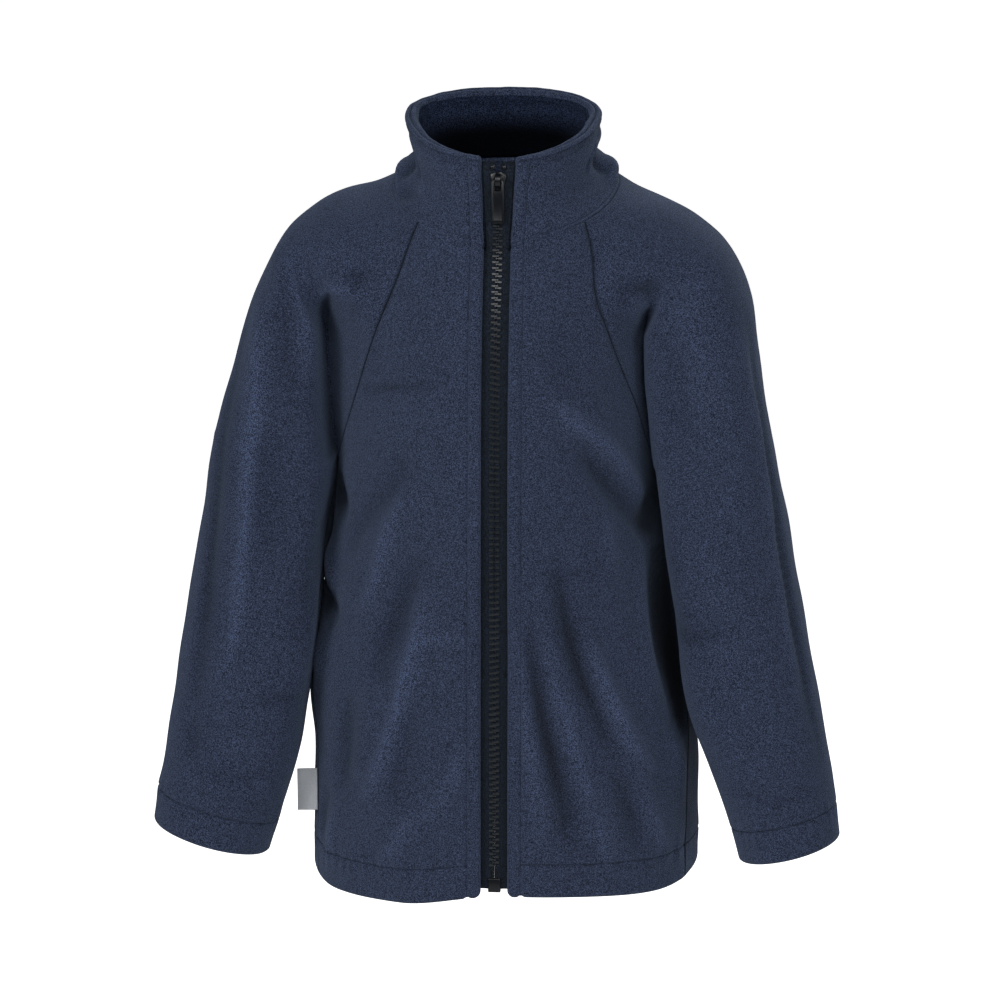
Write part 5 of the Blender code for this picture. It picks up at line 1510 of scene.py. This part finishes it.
def moulded(node, rounding):
    """A moulded piece with softened edges, from its CAD part."""
    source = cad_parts[node]
    solid = bmesh.new()
    solid.from_mesh(source.data)
    solid.transform(source.matrix_world)
    bmesh.ops.remove_doubles(solid, verts=solid.verts, dist=SAME_PLACE)
    bmesh.ops.dissolve_limit(solid, angle_limit=FLAT_EDGE, verts=solid.verts, edges=solid.edges)
    sharp = [edge for edge in solid.edges if edge.is_manifold and edge.calc_face_angle() > SHARP_EDGE]
    bmesh.ops.bevel(
        solid, geom=sharp, offset=rounding * MM, segments=3, profile=0.5, affect="EDGES", clamp_overlap=True,
    )
    mesh = bpy.data.meshes.new(f"{node}_moulded")
    solid.to_mesh(mesh)
    solid.free()
    mesh.materials.append(RESIN)
    mesh.shade_smooth()
    mesh.set_sharp_from_angle(angle=SHARP_EDGE)
    obj = placed(mesh.name, mesh)
    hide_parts(node)
    return obj


# ---------------------------------------------------------------- label

LABEL_RIPPLE = (0.35, 3, 0.13)      # how far, and how fast across and along
LABEL_SAG = 0.9


def label():
    """A folded tag sewn into the wearer's right side seam. The fold is its outer edge, and both faces are bare."""
    wide, tall = LABEL_SIZE
    out = np.array(LABEL_OUT) / np.linalg.norm(LABEL_OUT)
    facing = np.array([-out[1], out[0], 0])
    height = np.linspace(LABEL_TOP, LABEL_TOP - tall, 40)
    root = trunk("right", side_angle(height), height)
    root += from_axis(root) / np.linalg.norm(from_axis(root), axis=1, keepdims=True) * LABEL_CLEARANCE
    radius = LABEL_THICKNESS / 2
    straight = np.linspace(0, wide - radius, 24)
    turn = np.linspace(0, math.pi, 9)[1:-1]
    reach = np.concatenate([straight, wide - radius + radius * np.sin(turn), straight[::-1]])
    depth = np.concatenate([np.full(24, 2 * radius), radius + radius * np.cos(turn), np.zeros(24)])
    share = reach / wide
    ripple, across, along = LABEL_RIPPLE
    sway = LABEL_DROOP * share * (1 - share) + ripple * np.sin(across * share + height[:, None] * along) * share
    outer = root[:, None] + out * reach[:, None] + facing * (depth + sway)[..., None]
    outer[..., 2] -= LABEL_SAG * share**2
    thin = Cloth(outer, None)
    middle = outer.mean(axis=1, keepdims=True)
    inner = outer - thin.normals(outer - middle) * LABEL_LAYER
    piece = mesh_from_grids("label", outer, inner, thin, LABEL)
    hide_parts("side_label")
    return piece


# ---------------------------------------------------------------- setting

AMBIENT = 0.015         # how strongly the white surroundings light the jacket: 1 is how they look
LIGHTS = (              # name, place, width and height, power in watts
    ("key", (-1.6, -2.2, 1.4), 1.2, 43),
    ("front", (0.2, -2.6, 1.7), 1.4, 32),
    ("fill", (1.9, -2.2, 0.6), 1.4, 23),
    ("right", (2.7, -0.5, 0.6), 1.0, 3),
    ("behind", (0.8, 2.8, 0.9), 1.6, 32),
)
LIT_PLACE = (0, 0, -0.19)
LENS, SENSOR = 216, 36
SEEN_PLACE = (-0.0042, 0, -0.1957)
SEEN_FROM = (4.6, 12, 3.6)      # degrees round to the wearer's left, degrees up and metres away
FLOOR_SIZE, FLOOR_LEVEL = 12.0, -1.0


def aim(obj, place, target):
    obj.location = Vector(place)
    obj.rotation_euler = (Vector(target) - Vector(place)).to_track_quat("-Z", "Y").to_euler()


def softbox(name, place, size, power):
    lamp = bpy.data.lights.new(name, "AREA")
    lamp.shape = "RECTANGLE"
    lamp.size = lamp.size_y = size
    lamp.energy = power
    aim(placed(name, lamp), place, LIT_PLACE)


def light_only_for_the_eye(tree, socket, others, seen):
    """Gives a strength one value where it is looked at and another where it lights the jacket."""
    path = tree.nodes.new("ShaderNodeLightPath")
    strength = math_node(tree, "MULTIPLY", path.outputs["Is Camera Ray"], seen - others)
    tree.links.new(math_node(tree, "ADD", strength, others), socket)


def studio():
    scene = bpy.context.scene
    world = bpy.data.worlds.new("studio")
    scene.world = world
    world.use_nodes = True
    sky = world.node_tree.nodes["Background"]
    sky.inputs["Color"].default_value = (1, 1, 1, 1)
    light_only_for_the_eye(world.node_tree, sky.inputs["Strength"], AMBIENT, 1.0)
    for light in LIGHTS:
        softbox(*light)
    camera = bpy.data.cameras.new("camera")
    camera.lens, camera.sensor_width = LENS, SENSOR
    scene.camera = placed("camera", camera)
    azimuth, elevation = (math.radians(angle) for angle in SEEN_FROM[:2])
    level = math.cos(elevation)
    way = Vector((math.sin(azimuth) * level, -math.cos(azimuth) * level, math.sin(elevation)))
    aim(scene.camera, Vector(SEEN_PLACE) + way * SEEN_FROM[2], SEEN_PLACE)
    scene.view_settings.view_transform = "Standard"
    mesh = bpy.data.meshes.new("floor")
    corners = ((-1, -1), (1, -1), (1, 1), (-1, 1))
    mesh.from_pydata([(x * FLOOR_SIZE, y * FLOOR_SIZE, FLOOR_LEVEL) for x, y in corners], [], [(0, 1, 2, 3)])
    material, _, shader = principled("pale_floor", 0.9)
    shader.inputs["Base Color"].default_value = (0.9, 0.9, 0.9, 1)
    shader.inputs["Emission Color"].default_value = (1, 1, 1, 1)
    light_only_for_the_eye(material.node_tree, shader.inputs["Emission Strength"], 0.0, 1.0)
    mesh.materials.append(material)
    floor = placed("floor", mesh)


# ---------------------------------------------------------------- the jacket

CLOTH_CUT = (       # width and length of the cut in metres, its area and the pieces it is sewn to
    ((0.147, 0.442), 0.0464, ["back", "sleeve_right"]),
    ((0.138, 0.434), 0.0448, ["back", "sleeve_left"]),
    ((0.418, 0.467), 0.1209, ["sleeve_right", "sleeve_left"]),
    ((0.345, 0.458), 0.1107, ["back"]),
    ((0.336, 0.454), 0.1070, ["back"]),
    ((0.330, 0.062), 0.0185, ["back", "front_right", "front_left"]),
)

studio()
cloth_pieces = [front_panel("right"), front_panel("left"), back_panel(), sleeve("right"), sleeve("left"), collar()]
for piece, (flat, area, others) in zip(cloth_pieces, CLOTH_CUT):
    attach(piece, "jacket")
for side in SIDE_SIGN:
    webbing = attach(tape(side), "jacket")
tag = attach(label(), "jacket")

tree, tooth, stitch = repeater(), one_tooth(), one_stitch()
for side in SIDE_SIGN:
    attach(teeth(side, tree, tooth), "jacket")
sewn = set_along(tree, "topstitching", SEWING, STITCH_PITCH, stitch, THREAD)
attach(sewn, "jacket")
for helper in (tooth, stitch):
    bpy.data.objects.remove(helper, do_unlink=True)
for node, rounding in (
    ("slider", 0.3), ("top_stop_right", 0.4), ("top_stop_left", 0.4), ("zip_box", 0.3), ("zip_pin", 0.2),
):
    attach(moulded(node, rounding), "jacket")
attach(moulded("pull_tab", 0.25), "pull_tab")
